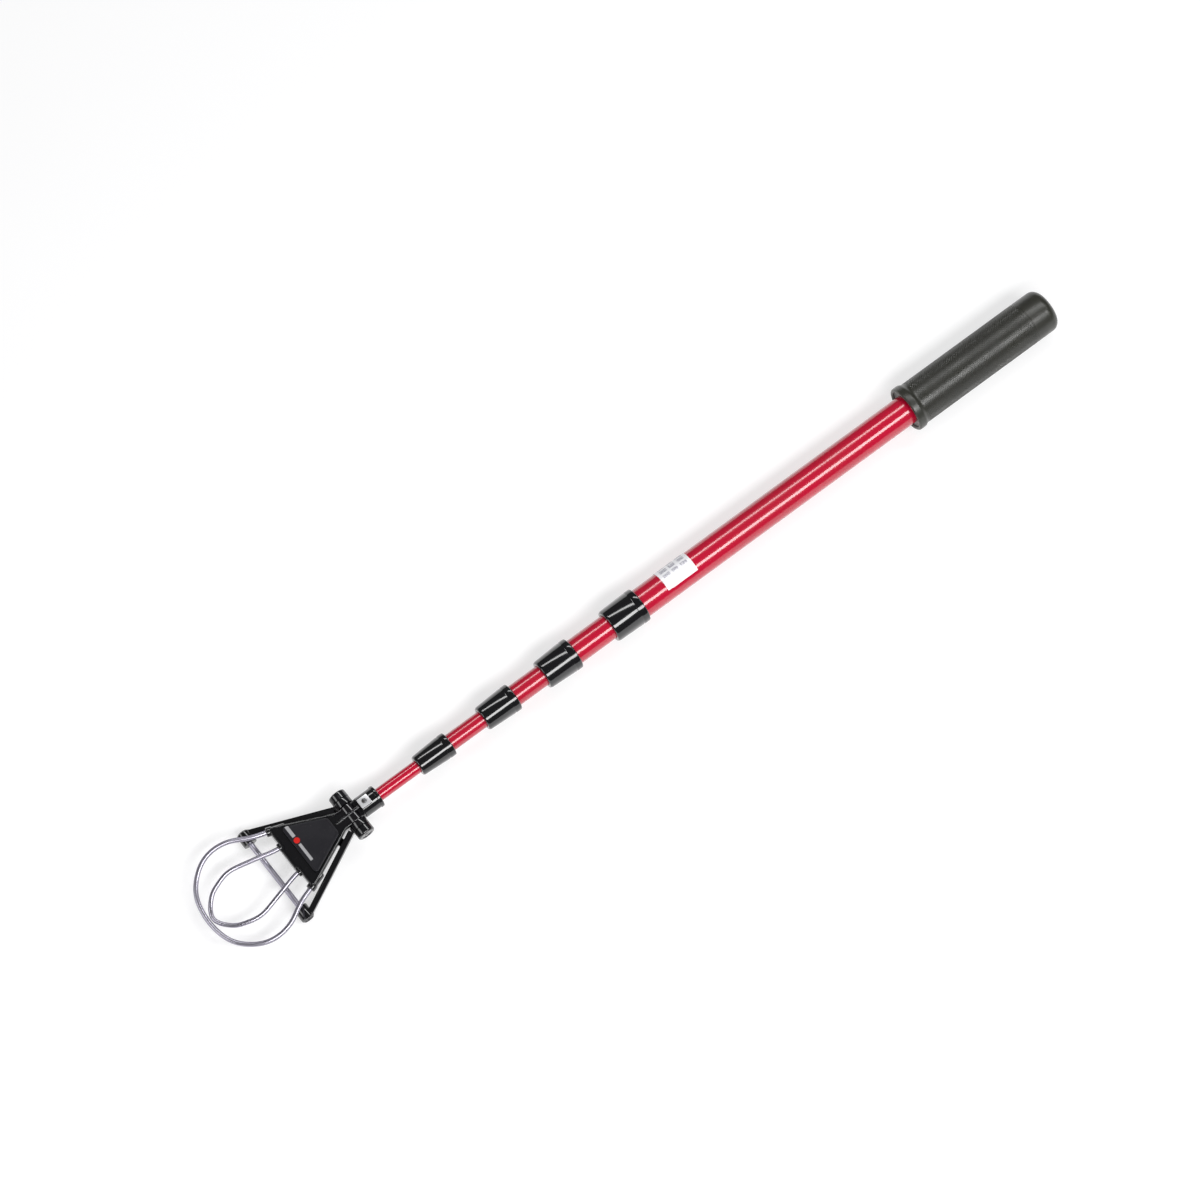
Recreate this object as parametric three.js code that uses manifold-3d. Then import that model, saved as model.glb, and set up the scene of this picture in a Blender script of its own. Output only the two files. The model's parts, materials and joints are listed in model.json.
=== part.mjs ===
// Telescopic ball retriever: a five-tube pole, a wire head and a sprung fork.
// Millimetres. +X runs along the pole from the grip to the head, +Z is up.
// Lengths along the pole are counted from the fork's hinge axis.
import * as THREE from 'three';
import { mergeVertices } from 'three/addons/utils/BufferGeometryUtils.js';
import Module from 'manifold-3d';

const wasm = await Module();
wasm.setup();

// Fits
const RUNNING_GAP = 0.1;      // radial play between pieces turned about one axis
const JOINT_GAP = 0.3;        // space between pieces that are cut, or that meet face to face

// Pole tubes, counted from the grip to the head
const TUBE_DIAMETER = 21;     // the handle tube
const TUBE_STEP = 3;          // each tube is slimmer than the one it slides in by this much
const TUBE_WALL = 0.7;
const TUBE_COUNT = 5;
const VISIBLE_LENGTHS = [226, 29.5, 23.7, 27.2, 32.5];
const INNER_TUBE_SHORTFALL = 24.2;   // how much shorter than the handle tube the others are
const POLE_SIDES = 24;

// Collars, one on the front end of each tube but the last
const COLLAR_LENGTH = 26;
const COLLAR_FRONT_WALLS = [1.3, 1.4, 1.55, 1.5];
const COLLAR_REAR_WALLS = [2.0, 2.45, 2.45, 2.65];
const COLLAR_REACH = 4;       // how far a collar stands out beyond its tube
const COLLAR_LIP = 2.4;
const COLLAR_ROUND = 1;

// Guide rings, end bushes and the plug
const RING_LENGTH = 12;
const RING_FLANGE = 1.2;
const BUSH_HEAD = 8;
const BUSH_SPIGOT = 8;
const BUSH_BORE = 2;
const PLUG_LENGTH = 12;

// Grip
const GRIP_LENGTH = 122.6;
const GRIP_WALL = 5;
const GRIP_FLARE = 1.15;     // how far the front lip stands out of the grip
const GRIP_LIP_LENGTH = 7;
const GRIP_ROUND = 6;
const GRIP_END_WALL = 4;
const GRIP_RECESS = 1.6;

// Sticker on the handle tube
const STICKER_LENGTH = 24.5;
const STICKER_OFFSET = 19.4;  // from the collar's rear face
const STICKER_THICKNESS = 0.2;
const STICKER_ARC = [-105, 39];      // degrees from the top, towards +Y

// Head moulding
const SOCKET_WALL = 3;
const SOCKET_REACH = 21.5;
const SOCKET_BEAD = 0.5;
const SOCKET_BEAD_LENGTH = 2.6;
const SEAT_WALL = 1.5;        // between the end of the last tube and the hinge
const BARREL_RADIUS = 5.6;
const BARREL_HALF = 6.6;
const NECK_END = 9.3;
const PLATE_FRONT = 50.2;
const PLATE_HALF_WIDTH = 25.7;
const PLATE_THICKNESS = 8;
const PLATE_BEVEL = 1;
const PLATE_CORNER = 2.5;
const NOSE_HALF_WIDTH = 7; // the middle of the front edge stands out
const NOSE_LENGTH = 1.6;
const RIB_WIDTH = 1.6;
const RIB_TOP = 7;
const WIRE_SEAT = 12;         // how deep each wire end sits in the plate
const WIRE_BOSS_WALL = 1.8;
const WIRE_BOSS_LENGTH = 8;

// Cover panel and its screws
const COVER_REAR = 14.5;
const COVER_FRONT = 43;
const COVER_INSET = 2.4;
const COVER_THICKNESS = 1.5;
const COVER_BEVEL = 0.4;
const SCREW_RADIUS = 1.4;
const SCREW_HEAD_RADIUS = 2.7;
const SCREW_HEAD = 1.5;
const SCREW_PLACES = [[20, 0], [35, 10], [35, -10]];

// Clip and rivet on the socket
const CLIP_LENGTH = 7.8;
const CLIP_WIDTH = 7;
const CLIP_THICKNESS = 0.6;
const CLIP_REACH = 10.8;      // its middle, behind the hinge axis
const RIVET_RADIUS = 1;
const RIVET_HEAD_RADIUS = 1.7;

// Wire loops
const OUTER_WIRE = 1.6;
const OUTER_ROOT = 24.2;
const OUTER_LENGTH = 64.7;
const OUTER_HALF_WIDTH = 36.6;
const OUTER_SHAPE = [[0.16, 0.76], [0.36, 0.95], [0.53, 1], [0.69, 0.94], [0.86, 0.72], [0.955, 0.46]];
const INNER_WIRE = 1.5;
const INNER_ROOT = 10.4;
const INNER_HALF_WIDTH = 18.4;
const INNER_SHAPE = [[0.296, 0.8], [0.58, 1], [0.735, 0.885], [0.866, 0.68]];
const LOOP_DIP = 6.5;           // how far the tip curves down
const LOOP_STEPS = 44;
const WIRE_SIDES = 8;

// Hinge
const PIN_RADIUS = 1.5;
const PIN_PLAY = 0.2;
const KNUCKLE_RADIUS = 6.2;
const KNUCKLE_LENGTH = 4.4;
const CAP_LENGTH = 5.6;
const CAP_WALL = 1.2;
const SPRING_WIRE = 0.6;
const SPRING_RADIUS = 3.6;
const SPRING_TURNS = 2.25;

// Fork
const ARM_WIDTH = 3.9;
const ARM_HEIGHT = 4.4;
const ELBOW_REACH = 7;        // where each arm turns outwards, in front of the spring cap
const ELBOW_DROP = 1;
const CROSSBAR_RADIUS = 1.9;
const CROSSBAR_REACH = 62.8;
const CROSSBAR_DROP = 11.8;
const BOSS_RADIUS = 4.85;
const BOSS_CLEARANCE = 1.7;   // from the plate's widest place out to the boss
const BOSS_LENGTH = 9.6;
const BOSS_PLUG_RADIUS = 3;
const BOSS_PLUG_LENGTH = 2.8;
const STOP_TAB = [5, 6, 2.2]; // rests under the plate and holds the fork at its closed end
const STOP_TAB_REACH = 16;
const STOP_TAB_HOLD = 1.8;    // how far it reaches in under the plate's edge

// Places worked out from the sizes above
const tubeRadius = (i) => (TUBE_DIAMETER - TUBE_STEP * i) / 2;
const boreRadius = (i) => tubeRadius(i) - TUBE_WALL;
const last = TUBE_COUNT - 1;
const gripRadius = tubeRadius(0) + GRIP_WALL;
const gripLipRadius = gripRadius + GRIP_FLARE;
const socketRadius = tubeRadius(last) + SOCKET_WALL;
const beadRadius = socketRadius + SOCKET_BEAD;
const shoulder = -KNUCKLE_RADIUS - JOINT_GAP;
const socketFloor = shoulder - SEAT_WALL;
const collarFront = [];
for (let i = last - 1, x = -SOCKET_REACH; i >= 0; i -= 1) {
  collarFront[i] = x - VISIBLE_LENGTHS[i + 1];
  x = collarFront[i] - COLLAR_LENGTH;
}
const gripFront = collarFront[0] - COLLAR_LENGTH - VISIBLE_LENGTHS[0];
const gripRear = gripFront - GRIP_LENGTH;
const tubeFront = (i) => (i < last ? collarFront[i] - COLLAR_REACH : socketFloor - JOINT_GAP);
const handleTubeRear = gripRear + GRIP_END_WALL + JOINT_GAP;
const innerTubeLength = tubeFront(0) - handleTubeRear - INNER_TUBE_SHORTFALL;
const tubeRear = (i) => (i === 0 ? handleTubeRear : tubeFront(i) - innerTubeLength);
const plateTop = PLATE_THICKNESS / 2;
const outerTip = PLATE_FRONT + NOSE_LENGTH + OUTER_LENGTH;
const innerTip = outerTip - OUTER_WIRE - INNER_WIRE - JOINT_GAP;
const knuckleInner = BARREL_HALF + JOINT_GAP;
const knuckleOuter = knuckleInner + KNUCKLE_LENGTH;
const capInner = knuckleOuter + JOINT_GAP;
const capOuter = capInner + CAP_LENGTH;
const pinHalf = capOuter - CAP_WALL - JOINT_GAP;
const bossInner = PLATE_HALF_WIDTH + BOSS_CLEARANCE;
const bossOuter = bossInner + BOSS_LENGTH;
const springRun = CAP_LENGTH - CAP_WALL - 2 * SPRING_WIRE - JOINT_GAP;

// Finishes
const finish = (color, roughness, metalness) =>
  new THREE.MeshStandardMaterial({ color, roughness, metalness });
const redTube = finish(0xc8102e, 0.25, 0.6);
const blackPlastic = finish(0x15151a, 0.3, 0);
const charcoalPlastic = finish(0x2d2c32, 0.55, 0);
const gripRubber = finish(0x2f302c, 0.7, 0);
const brightSteel = finish(0xc9c9d2, 0.2, 1);
const springSteel = finish(0x6f7076, 0.35, 1);
const paleNylon = finish(0xe6e4dc, 0.5, 0);
const stickerPaper = finish(0xf2f2f4, 0.6, 0);

// Turns a closed half section, drawn as (along, radius), about X.
function turned(points, sides = POLE_SIDES) {
  const profile = points.map(([along, radius]) => new THREE.Vector2(radius, along));
  return new THREE.LatheGeometry(profile, sides).rotateZ(-Math.PI / 2);
}

// A hollow or solid section closes on itself, so its first point is repeated.
function ring(points, sides) {
  return turned([...points, points[0]], sides);
}

function sleeve(rear, front, outer, inner, sides) {
  return ring([[rear, inner], [rear, outer], [front, outer], [front, inner]], sides);
}

function rod(rear, front, radius, sides) {
  return turned([[rear, 0], [rear, radius], [front, radius], [front, 0]], sides);
}

// A quarter round of a half section, from one angle to another in degrees.
function quarterRound(along, radius, size, from, to, steps = 3) {
  return Array.from({ length: steps + 1 }, (_, k) => {
    const angle = THREE.MathUtils.degToRad(from + ((to - from) * k) / steps);
    return [along + size * Math.cos(angle), radius + size * Math.sin(angle)];
  });
}

// Stands a piece turned about X across the head, pointing to one side.
const acrossTo = (geometry, side) => geometry.rotateZ((side * Math.PI) / 2);

function toSolid(geometry) {
  const bare = geometry.clone();
  bare.deleteAttribute('normal');
  bare.deleteAttribute('uv');
  const merged = mergeVertices(bare, 1e-4);
  return new wasm.Manifold(new wasm.Mesh({
    numProp: 3,
    vertProperties: Float32Array.from(merged.attributes.position.array),
    triVerts: Uint32Array.from(merged.index.array),
  }));
}

function toGeometry(solid) {
  const { vertProperties, triVerts } = solid.getMesh();
  const geometry = new THREE.BufferGeometry();
  geometry.setAttribute('position', new THREE.BufferAttribute(vertProperties, 3));
  geometry.setIndex(new THREE.BufferAttribute(triVerts, 1));
  geometry.computeVertexNormals();
  return geometry;
}

function carved(added, removed = []) {
  const whole = added.map(toSolid).reduce((sum, solid) => sum.add(solid));
  return toGeometry(removed.map(toSolid).reduce((rest, solid) => rest.subtract(solid), whole));
}

function box(from, to) {
  const size = to.map((value, k) => value - from[k]);
  const middle = to.map((value, k) => (value + from[k]) / 2);
  return new THREE.BoxGeometry(...size).translate(...middle);
}

// A square bar between two points, its width kept level.
function bar(from, to, width, height) {
  const start = new THREE.Vector3(...from);
  const run = new THREE.Vector3(...to).sub(start);
  const along = run.clone().normalize();
  const level = new THREE.Vector3(0, 0, 1).cross(along).normalize();
  const up = along.clone().cross(level);
  const frame = new THREE.Matrix4().makeBasis(along, level, up);
  const middle = start.addScaledVector(run, 0.5);
  return new THREE.BoxGeometry(run.length(), width, height)
    .applyMatrix4(frame)
    .translate(middle.x, middle.y, middle.z);
}

function piece(name, geometry, material) {
  const mesh = new THREE.Mesh(geometry, material);
  mesh.name = name;
  return mesh;
}

function assembly(...parts) {
  const group = new THREE.Group();
  group.add(...parts);
  return group;
}

// Pole

function tube(i) {
  return piece(`tube_${i + 1}`,
    sleeve(tubeRear(i), tubeFront(i), tubeRadius(i), boreRadius(i)), redTube);
}

function collar(i) {
  const front = collarFront[i];
  const rear = front - COLLAR_LENGTH;
  const frontRadius = tubeRadius(i) + COLLAR_FRONT_WALLS[i];
  const rearRadius = tubeRadius(i) + COLLAR_REAR_WALLS[i];
  const seat = tubeRadius(i) + RUNNING_GAP;
  const mouth = tubeRadius(i + 1) + JOINT_GAP;
  const points = [
    [rear, seat],
    ...quarterRound(rear + COLLAR_ROUND, rearRadius - COLLAR_ROUND, COLLAR_ROUND, 180, 90),
    ...quarterRound(front - COLLAR_ROUND, frontRadius - COLLAR_ROUND, COLLAR_ROUND, 90, 0),
    [front, mouth],
    [front - COLLAR_LIP, mouth],
    [front - COLLAR_LIP, seat],
  ];
  return piece(`collar_${i + 1}`, ring(points), blackPlastic);
}

function guideRing(i) {
  const front = tubeFront(i);
  const inner = tubeRadius(i + 1) + RUNNING_GAP;
  const outer = boreRadius(i) - RUNNING_GAP;
  const points = [
    [front - RING_LENGTH, inner],
    [front - RING_LENGTH, outer],
    [front + RUNNING_GAP, outer],
    [front + RUNNING_GAP, tubeRadius(i)],
    [front + RUNNING_GAP + RING_FLANGE, tubeRadius(i)],
    [front + RUNNING_GAP + RING_FLANGE, inner],
  ];
  return piece(`guide_ring_${i + 1}`, ring(points), paleNylon);
}

function endBush(i) {
  const rear = tubeRear(i);
  const head = boreRadius(i - 1) - RUNNING_GAP;
  const spigot = boreRadius(i) - RUNNING_GAP;
  const points = [
    [rear - BUSH_HEAD, BUSH_BORE],
    [rear - BUSH_HEAD, head],
    [rear - RUNNING_GAP, head],
    [rear - RUNNING_GAP, spigot],
    [rear + BUSH_SPIGOT, spigot],
    [rear + BUSH_SPIGOT, BUSH_BORE],
  ];
  return piece(`end_bush_${i + 1}`, ring(points), paleNylon);
}

function tubePlug() {
  const rear = tubeRear(0);
  const geometry = rod(rear, rear + PLUG_LENGTH, boreRadius(0) - RUNNING_GAP);
  return piece('tube_plug', geometry, blackPlastic);
}

function grip() {
  const bore = tubeRadius(0) + RUNNING_GAP;
  const lipRear = gripFront - GRIP_LIP_LENGTH;
  const lipRound = (gripLipRadius - bore) / 4;
  const floor = gripRear + GRIP_END_WALL;
  const recess = gripFront - GRIP_RECESS;
  const rim = gripLipRadius - 2 * lipRound;
  const geometry = turned([
    [gripRear, 0],
    ...quarterRound(gripRear + GRIP_ROUND, gripRadius - GRIP_ROUND, GRIP_ROUND, 180, 90),
    [lipRear, gripRadius],
    [lipRear + GRIP_FLARE, gripLipRadius],
    ...quarterRound(gripFront - lipRound, gripLipRadius - lipRound, lipRound, 90, 0),
    [gripFront, rim],
    [recess, rim],
    [recess, bore],
    [floor, bore],
    [floor, 0],
  ]);
  return piece('grip', geometry, gripRubber);
}

function sticker() {
  const inner = tubeRadius(0) + RUNNING_GAP;
  const outer = inner + STICKER_THICKNESS;
  // The strip is drawn looking along the pole from the head, then laid on it.
  const [start, end] = STICKER_ARC.map((degrees) => THREE.MathUtils.degToRad(90 - degrees));
  const outline = new THREE.Shape();
  outline.absarc(0, 0, outer, end, start, false);
  outline.absarc(0, 0, inner, start, end, true);
  const geometry = new THREE.ExtrudeGeometry(outline, {
    depth: STICKER_LENGTH, bevelEnabled: false, curveSegments: 16,
  });
  geometry.rotateX(Math.PI / 2).rotateZ(Math.PI / 2);
  const mesh = piece('tube_sticker', geometry, stickerPaper);
  mesh.position.x = collarFront[0] - COLLAR_LENGTH - STICKER_OFFSET - STICKER_LENGTH;
  return mesh;
}

// Wire loops

// The wire's middle line: out of the plate, round the tip and back. It dips towards the tip.
function loopCurve(rootY, tipX, halfWidth, shape, seatAngle) {
  const rootX = PLATE_FRONT + NOSE_LENGTH;
  const length = tipX - rootX;
  const seat = [
    rootX - WIRE_SEAT * Math.cos(seatAngle),
    rootY - WIRE_SEAT * Math.sin(seatAngle),
  ];
  const half = [seat, [rootX, rootY]];
  shape.forEach(([along, across]) => half.push([rootX + along * length, across * halfWidth]));
  const outline = [...half, [tipX, 0], ...half.map(([x, y]) => [x, -y]).reverse()];
  const points = outline.map(([x, y]) => {
    const share = Math.max(0, (x - rootX) / length);
    return new THREE.Vector3(x, y, -LOOP_DIP * share * share);
  });
  return new THREE.CatmullRomCurve3(points, false, 'centripetal');
}

const seatAngleOuter = Math.atan2(
  OUTER_SHAPE[0][1] * OUTER_HALF_WIDTH - OUTER_ROOT, OUTER_SHAPE[0][0] * OUTER_LENGTH);
const outerCurve = loopCurve(OUTER_ROOT, outerTip, OUTER_HALF_WIDTH, OUTER_SHAPE, seatAngleOuter);
const innerCurve = loopCurve(INNER_ROOT, innerTip, INNER_HALF_WIDTH, INNER_SHAPE, 0);

function wireAlong(curve, radius, steps, sides) {
  const section = new THREE.Shape();
  section.absarc(0, 0, radius, 0, 2 * Math.PI, false);
  return new THREE.ExtrudeGeometry(section, {
    steps, curveSegments: sides, extrudePath: curve,
  });
}

function loop(name, curve, radius) {
  return piece(name, wireAlong(curve, radius, LOOP_STEPS, WIRE_SIDES), brightSteel);
}

// A straight round bar about a wire's end in the plate, standing out in front by some length.
function aboutWireEnd(rootY, angle, radius, depth, reach) {
  const geometry = rod(-depth, reach, radius, 16);
  geometry.rotateZ(angle);
  return geometry.translate(PLATE_FRONT + NOSE_LENGTH, rootY, 0);
}

// Head

const plateHalfWidthAt = (x) => {
  const share = (x - NECK_END) / (PLATE_FRONT - NECK_END);
  return BARREL_HALF + share * (PLATE_HALF_WIDTH - BARREL_HALF);
};

// A level panel with chamfered edges, from one half of its outline.
function panel(half, bottom, thickness, bevel) {
  const outline = [...half, ...half.map(([x, y]) => [x, -y]).reverse()];
  const shape = new THREE.Shape(outline.map(([x, y]) => new THREE.Vector2(x, y)));
  return new THREE.ExtrudeGeometry(shape, {
    depth: thickness - 2 * bevel,
    bevelThickness: bevel,
    bevelSize: bevel,
    bevelOffset: -bevel,
    bevelSegments: 1,
  }).translate(0, 0, bottom + bevel);
}

function headBody() {
  const nose = PLATE_FRONT + NOSE_LENGTH;
  const plate = panel([
    [shoulder - 1, BARREL_HALF],
    [NECK_END, BARREL_HALF],
    [PLATE_FRONT - PLATE_CORNER, plateHalfWidthAt(PLATE_FRONT - PLATE_CORNER)],
    [PLATE_FRONT, PLATE_HALF_WIDTH - PLATE_CORNER],
    [PLATE_FRONT, NOSE_HALF_WIDTH + NOSE_LENGTH],
    [nose, NOSE_HALF_WIDTH],
  ], -plateTop, PLATE_THICKNESS, PLATE_BEVEL);
  const beadFront = -SOCKET_REACH + SOCKET_BEAD_LENGTH;
  const socket = turned([
    [-SOCKET_REACH, 0],
    [-SOCKET_REACH, socketRadius],
    [-SOCKET_REACH + SOCKET_BEAD, beadRadius],
    [beadFront - SOCKET_BEAD, beadRadius],
    [beadFront, socketRadius],
    [shoulder, socketRadius],
    [shoulder, BARREL_HALF],
    [0, BARREL_RADIUS],
    [0, 0],
  ]);
  const barrel = acrossTo(rod(-BARREL_HALF, BARREL_HALF, BARREL_RADIUS), 1);
  const rib = bar([-NECK_END, 0, RIB_TOP - 2.5], [COVER_REAR - 2, 0, plateTop - 1.5],
    RIB_WIDTH, 5);
  const pad = box([-CLIP_REACH - CLIP_LENGTH / 2, -CLIP_WIDTH / 2, tubeRadius(last) + 1],
    [-CLIP_REACH + CLIP_LENGTH / 2, CLIP_WIDTH / 2, beadRadius]);
  const added = [plate, socket, barrel, rib, pad];
  const removed = [
    rod(-SOCKET_REACH - 1, socketFloor, tubeRadius(last) + RUNNING_GAP),
    acrossTo(rod(-BARREL_HALF - 1, BARREL_HALF + 1, PIN_RADIUS + PIN_PLAY), 1),
    post(-CLIP_REACH, 0, beadRadius - 2.4, beadRadius + 1, RIVET_RADIUS + JOINT_GAP),
  ];
  for (const side of [1, -1]) {
    const ends = [
      [OUTER_ROOT * side, seatAngleOuter * side, OUTER_WIRE],
      [INNER_ROOT * side, 0, INNER_WIRE],
    ];
    for (const [rootY, angle, wire] of ends) {
      added.push(aboutWireEnd(rootY, angle, wire + WIRE_BOSS_WALL, WIRE_BOSS_LENGTH, 0));
      removed.push(aboutWireEnd(rootY, angle, wire + JOINT_GAP, WIRE_SEAT + JOINT_GAP, 2));
    }
  }
  for (const [x, y] of SCREW_PLACES) {
    removed.push(post(x, y, -plateTop - 1, plateTop + 1, SCREW_RADIUS + JOINT_GAP));
  }
  return piece('head_body', carved(added, removed), blackPlastic);
}

// An upright round post.
function post(x, y, bottom, top, radius) {
  return rod(bottom, top, radius, 16).rotateY(-Math.PI / 2).translate(x, y, 0);
}

function headCover() {
  const half = [
    [COVER_REAR, plateHalfWidthAt(COVER_REAR) - COVER_INSET],
    [COVER_FRONT, plateHalfWidthAt(COVER_FRONT) - COVER_INSET],
  ];
  return piece('head_cover',
    panel(half, plateTop + JOINT_GAP, COVER_THICKNESS, COVER_BEVEL), charcoalPlastic);
}

function coverScrew(place, number) {
  const seat = -plateTop - JOINT_GAP;
  const geometry = turned([
    [seat - SCREW_HEAD, 0],
    [seat - SCREW_HEAD, SCREW_HEAD_RADIUS - 0.7],
    [seat - 0.5, SCREW_HEAD_RADIUS],
    [seat, SCREW_HEAD_RADIUS],
    [seat, SCREW_RADIUS],
    [plateTop, SCREW_RADIUS],
    [plateTop, 0],
  ], 16).rotateY(-Math.PI / 2);
  const mesh = piece(`cover_screw_${number}`, geometry, brightSteel);
  mesh.position.set(place[0], place[1], 0);
  return mesh;
}

function socketClip() {
  const bottom = beadRadius + JOINT_GAP;
  const sheet = box([-CLIP_LENGTH / 2, -CLIP_WIDTH / 2, bottom],
    [CLIP_LENGTH / 2, CLIP_WIDTH / 2, bottom + CLIP_THICKNESS]);
  const hole = post(0, 0, bottom - 1, bottom + 2, RIVET_RADIUS + JOINT_GAP);
  const mesh = piece('socket_clip', carved([sheet], [hole]), brightSteel);
  mesh.position.x = -CLIP_REACH;
  return mesh;
}

function socketRivet() {
  const seat = beadRadius + CLIP_THICKNESS + 2 * JOINT_GAP;
  const geometry = turned([
    [beadRadius - 2, 0],
    [beadRadius - 2, RIVET_RADIUS],
    [seat, RIVET_RADIUS],
    [seat, RIVET_HEAD_RADIUS],
    [seat + 0.4, RIVET_HEAD_RADIUS - 0.15],
    [seat + 0.8, RIVET_HEAD_RADIUS - 0.8],
    [seat + 0.9, 0],
  ], 16).rotateY(-Math.PI / 2);
  const mesh = piece('socket_rivet', geometry, springSteel);
  mesh.position.x = -CLIP_REACH;
  return mesh;
}

// Hinge

function hingePin() {
  return piece('hinge_pin', acrossTo(rod(-pinHalf, pinHalf, PIN_RADIUS, 16), 1), brightSteel);
}

function springCap(name, side) {
  const inner = KNUCKLE_RADIUS - CAP_WALL;
  const geometry = turned([
    [capOuter, 0],
    [capOuter, KNUCKLE_RADIUS - 1],
    [capOuter - 1, KNUCKLE_RADIUS],
    [capInner, KNUCKLE_RADIUS],
    [capInner, inner],
    [capOuter - CAP_WALL, inner],
    [capOuter - CAP_WALL, 0],
  ].reverse());
  return piece(name, acrossTo(geometry, side), blackPlastic);
}

class Coil extends THREE.Curve {
  getPoint(t, target = new THREE.Vector3()) {
    const angle = 2 * Math.PI * SPRING_TURNS * t;
    return target.set(springRun * t, SPRING_RADIUS * Math.cos(angle), SPRING_RADIUS * Math.sin(angle));
  }
}

function torsionSpring(name, side) {
  const steps = Math.round(12 * SPRING_TURNS);
  const geometry = wireAlong(new Coil(), SPRING_WIRE, steps, 6);
  geometry.translate(capInner + SPRING_WIRE + JOINT_GAP / 2, 0, 0);
  return piece(name, acrossTo(geometry, side), springSteel);
}

// Fork

function arm(name, side) {
  const armY = knuckleOuter - ARM_WIDTH / 2 - RUNNING_GAP;
  const root = [0, armY * side, -ELBOW_DROP];
  const elbow = [ELBOW_REACH, armY * side, -ELBOW_DROP];
  const end = [CROSSBAR_REACH - 2, (bossInner + BOSS_LENGTH * 0.75) * side, -CROSSBAR_DROP];
  const [tabLength, tabWidth, tabHeight] = STOP_TAB;
  const tabTop = -plateTop - JOINT_GAP;
  const tabInner = plateHalfWidthAt(STOP_TAB_REACH) - STOP_TAB_HOLD;
  const tabMiddle = (tabInner + tabWidth / 2) * side;
  const boss = turned([
    [bossInner, 0],
    [bossInner, BOSS_RADIUS],
    [bossOuter - 1, BOSS_RADIUS],
    [bossOuter, BOSS_RADIUS - 1],
    [bossOuter, 0],
  ]);
  const crossbarBore = CROSSBAR_RADIUS + JOINT_GAP;
  const toCrossbar = (geometry) =>
    acrossTo(geometry, side).translate(CROSSBAR_REACH, 0, -CROSSBAR_DROP);
  const geometry = carved([
    acrossTo(rod(knuckleInner, knuckleOuter, KNUCKLE_RADIUS), side),
    bar(root, elbow, ARM_WIDTH, ARM_HEIGHT),
    bar(elbow, end, ARM_WIDTH, ARM_HEIGHT),
    box([STOP_TAB_REACH - tabLength / 2, tabMiddle - tabWidth / 2, tabTop - tabHeight],
      [STOP_TAB_REACH + tabLength / 2, tabMiddle + tabWidth / 2, tabTop]),
    toCrossbar(boss),
  ], [
    acrossTo(rod(knuckleInner - 1, knuckleOuter + 1, PIN_RADIUS + PIN_PLAY), side),
    toCrossbar(rod(bossInner - 1, bossOuter + 1, crossbarBore, 16)),
    toCrossbar(rod(bossOuter - BOSS_PLUG_LENGTH - JOINT_GAP, bossOuter + 1,
      BOSS_PLUG_RADIUS + JOINT_GAP, 16)),
  ]);
  return piece(name, geometry, blackPlastic);
}

function crossbar() {
  const half = bossOuter - BOSS_PLUG_LENGTH - 2 * JOINT_GAP;
  const mesh = piece('crossbar', acrossTo(rod(-half, half, CROSSBAR_RADIUS, 16), 1), brightSteel);
  mesh.position.set(CROSSBAR_REACH, 0, -CROSSBAR_DROP);
  return mesh;
}

function bossPlug(name, side) {
  const geometry = acrossTo(
    rod(bossOuter - BOSS_PLUG_LENGTH, bossOuter, BOSS_PLUG_RADIUS, 16), side);
  const mesh = piece(name, geometry, charcoalPlastic);
  mesh.position.set(CROSSBAR_REACH, 0, -CROSSBAR_DROP);
  return mesh;
}

// The whole retriever, lying on its grip lip and the fork's bosses.
const handle = assembly(grip(), tube(0), sticker(), tubePlug(), collar(0), guideRing(0));
const sections = [];
for (let i = 1; i < last; i += 1) {
  sections.push(assembly(tube(i), endBush(i), collar(i), guideRing(i)));
}
const head = assembly(
  tube(last), endBush(last),
  headBody(), headCover(), ...SCREW_PLACES.map((place, k) => coverScrew(place, k + 1)),
  socketClip(), socketRivet(),
  loop('outer_loop', outerCurve, OUTER_WIRE), loop('inner_loop', innerCurve, INNER_WIRE),
  hingePin(),
  springCap('spring_cap_left', -1), springCap('spring_cap_right', 1),
  torsionSpring('torsion_spring_left', -1), torsionSpring('torsion_spring_right', 1),
);
const fork = assembly(
  arm('arm_left', -1), arm('arm_right', 1), crossbar(),
  bossPlug('boss_plug_left', -1), bossPlug('boss_plug_right', 1),
);
const retriever = assembly(handle, ...sections, head, fork);
const tipEnd = outerTip + OUTER_WIRE;
retriever.position.set(-(gripRear + tipEnd) / 2, 0, Math.max(gripLipRadius,
  CROSSBAR_DROP + BOSS_RADIUS));

export default retriever;
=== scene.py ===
"""Looks of a telescopic ball retriever: red tubes, black collars, a rubber grip and a wire head."""

import json
import math

import bmesh
import bpy
from bpy.props import FloatProperty, FloatVectorProperty, IntProperty, PointerProperty
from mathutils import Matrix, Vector


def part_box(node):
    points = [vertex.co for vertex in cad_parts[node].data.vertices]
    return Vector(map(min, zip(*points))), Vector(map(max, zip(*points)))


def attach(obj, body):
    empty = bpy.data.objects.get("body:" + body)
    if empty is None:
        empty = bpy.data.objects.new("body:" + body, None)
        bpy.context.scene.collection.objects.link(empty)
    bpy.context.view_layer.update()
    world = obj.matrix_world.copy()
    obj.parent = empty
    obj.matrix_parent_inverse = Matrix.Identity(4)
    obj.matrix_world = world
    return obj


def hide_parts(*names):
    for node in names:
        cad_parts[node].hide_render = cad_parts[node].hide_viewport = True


bl_info = {
    "name": "Ball Retriever",
    "version": (1, 0, 0),
    "blender": (4, 5, 0),
    "location": "3D View > Sidebar > Retriever",
    "description": "Builds the visible pieces and finishes of a telescopic ball retriever",
    "category": "Object",
}

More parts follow.
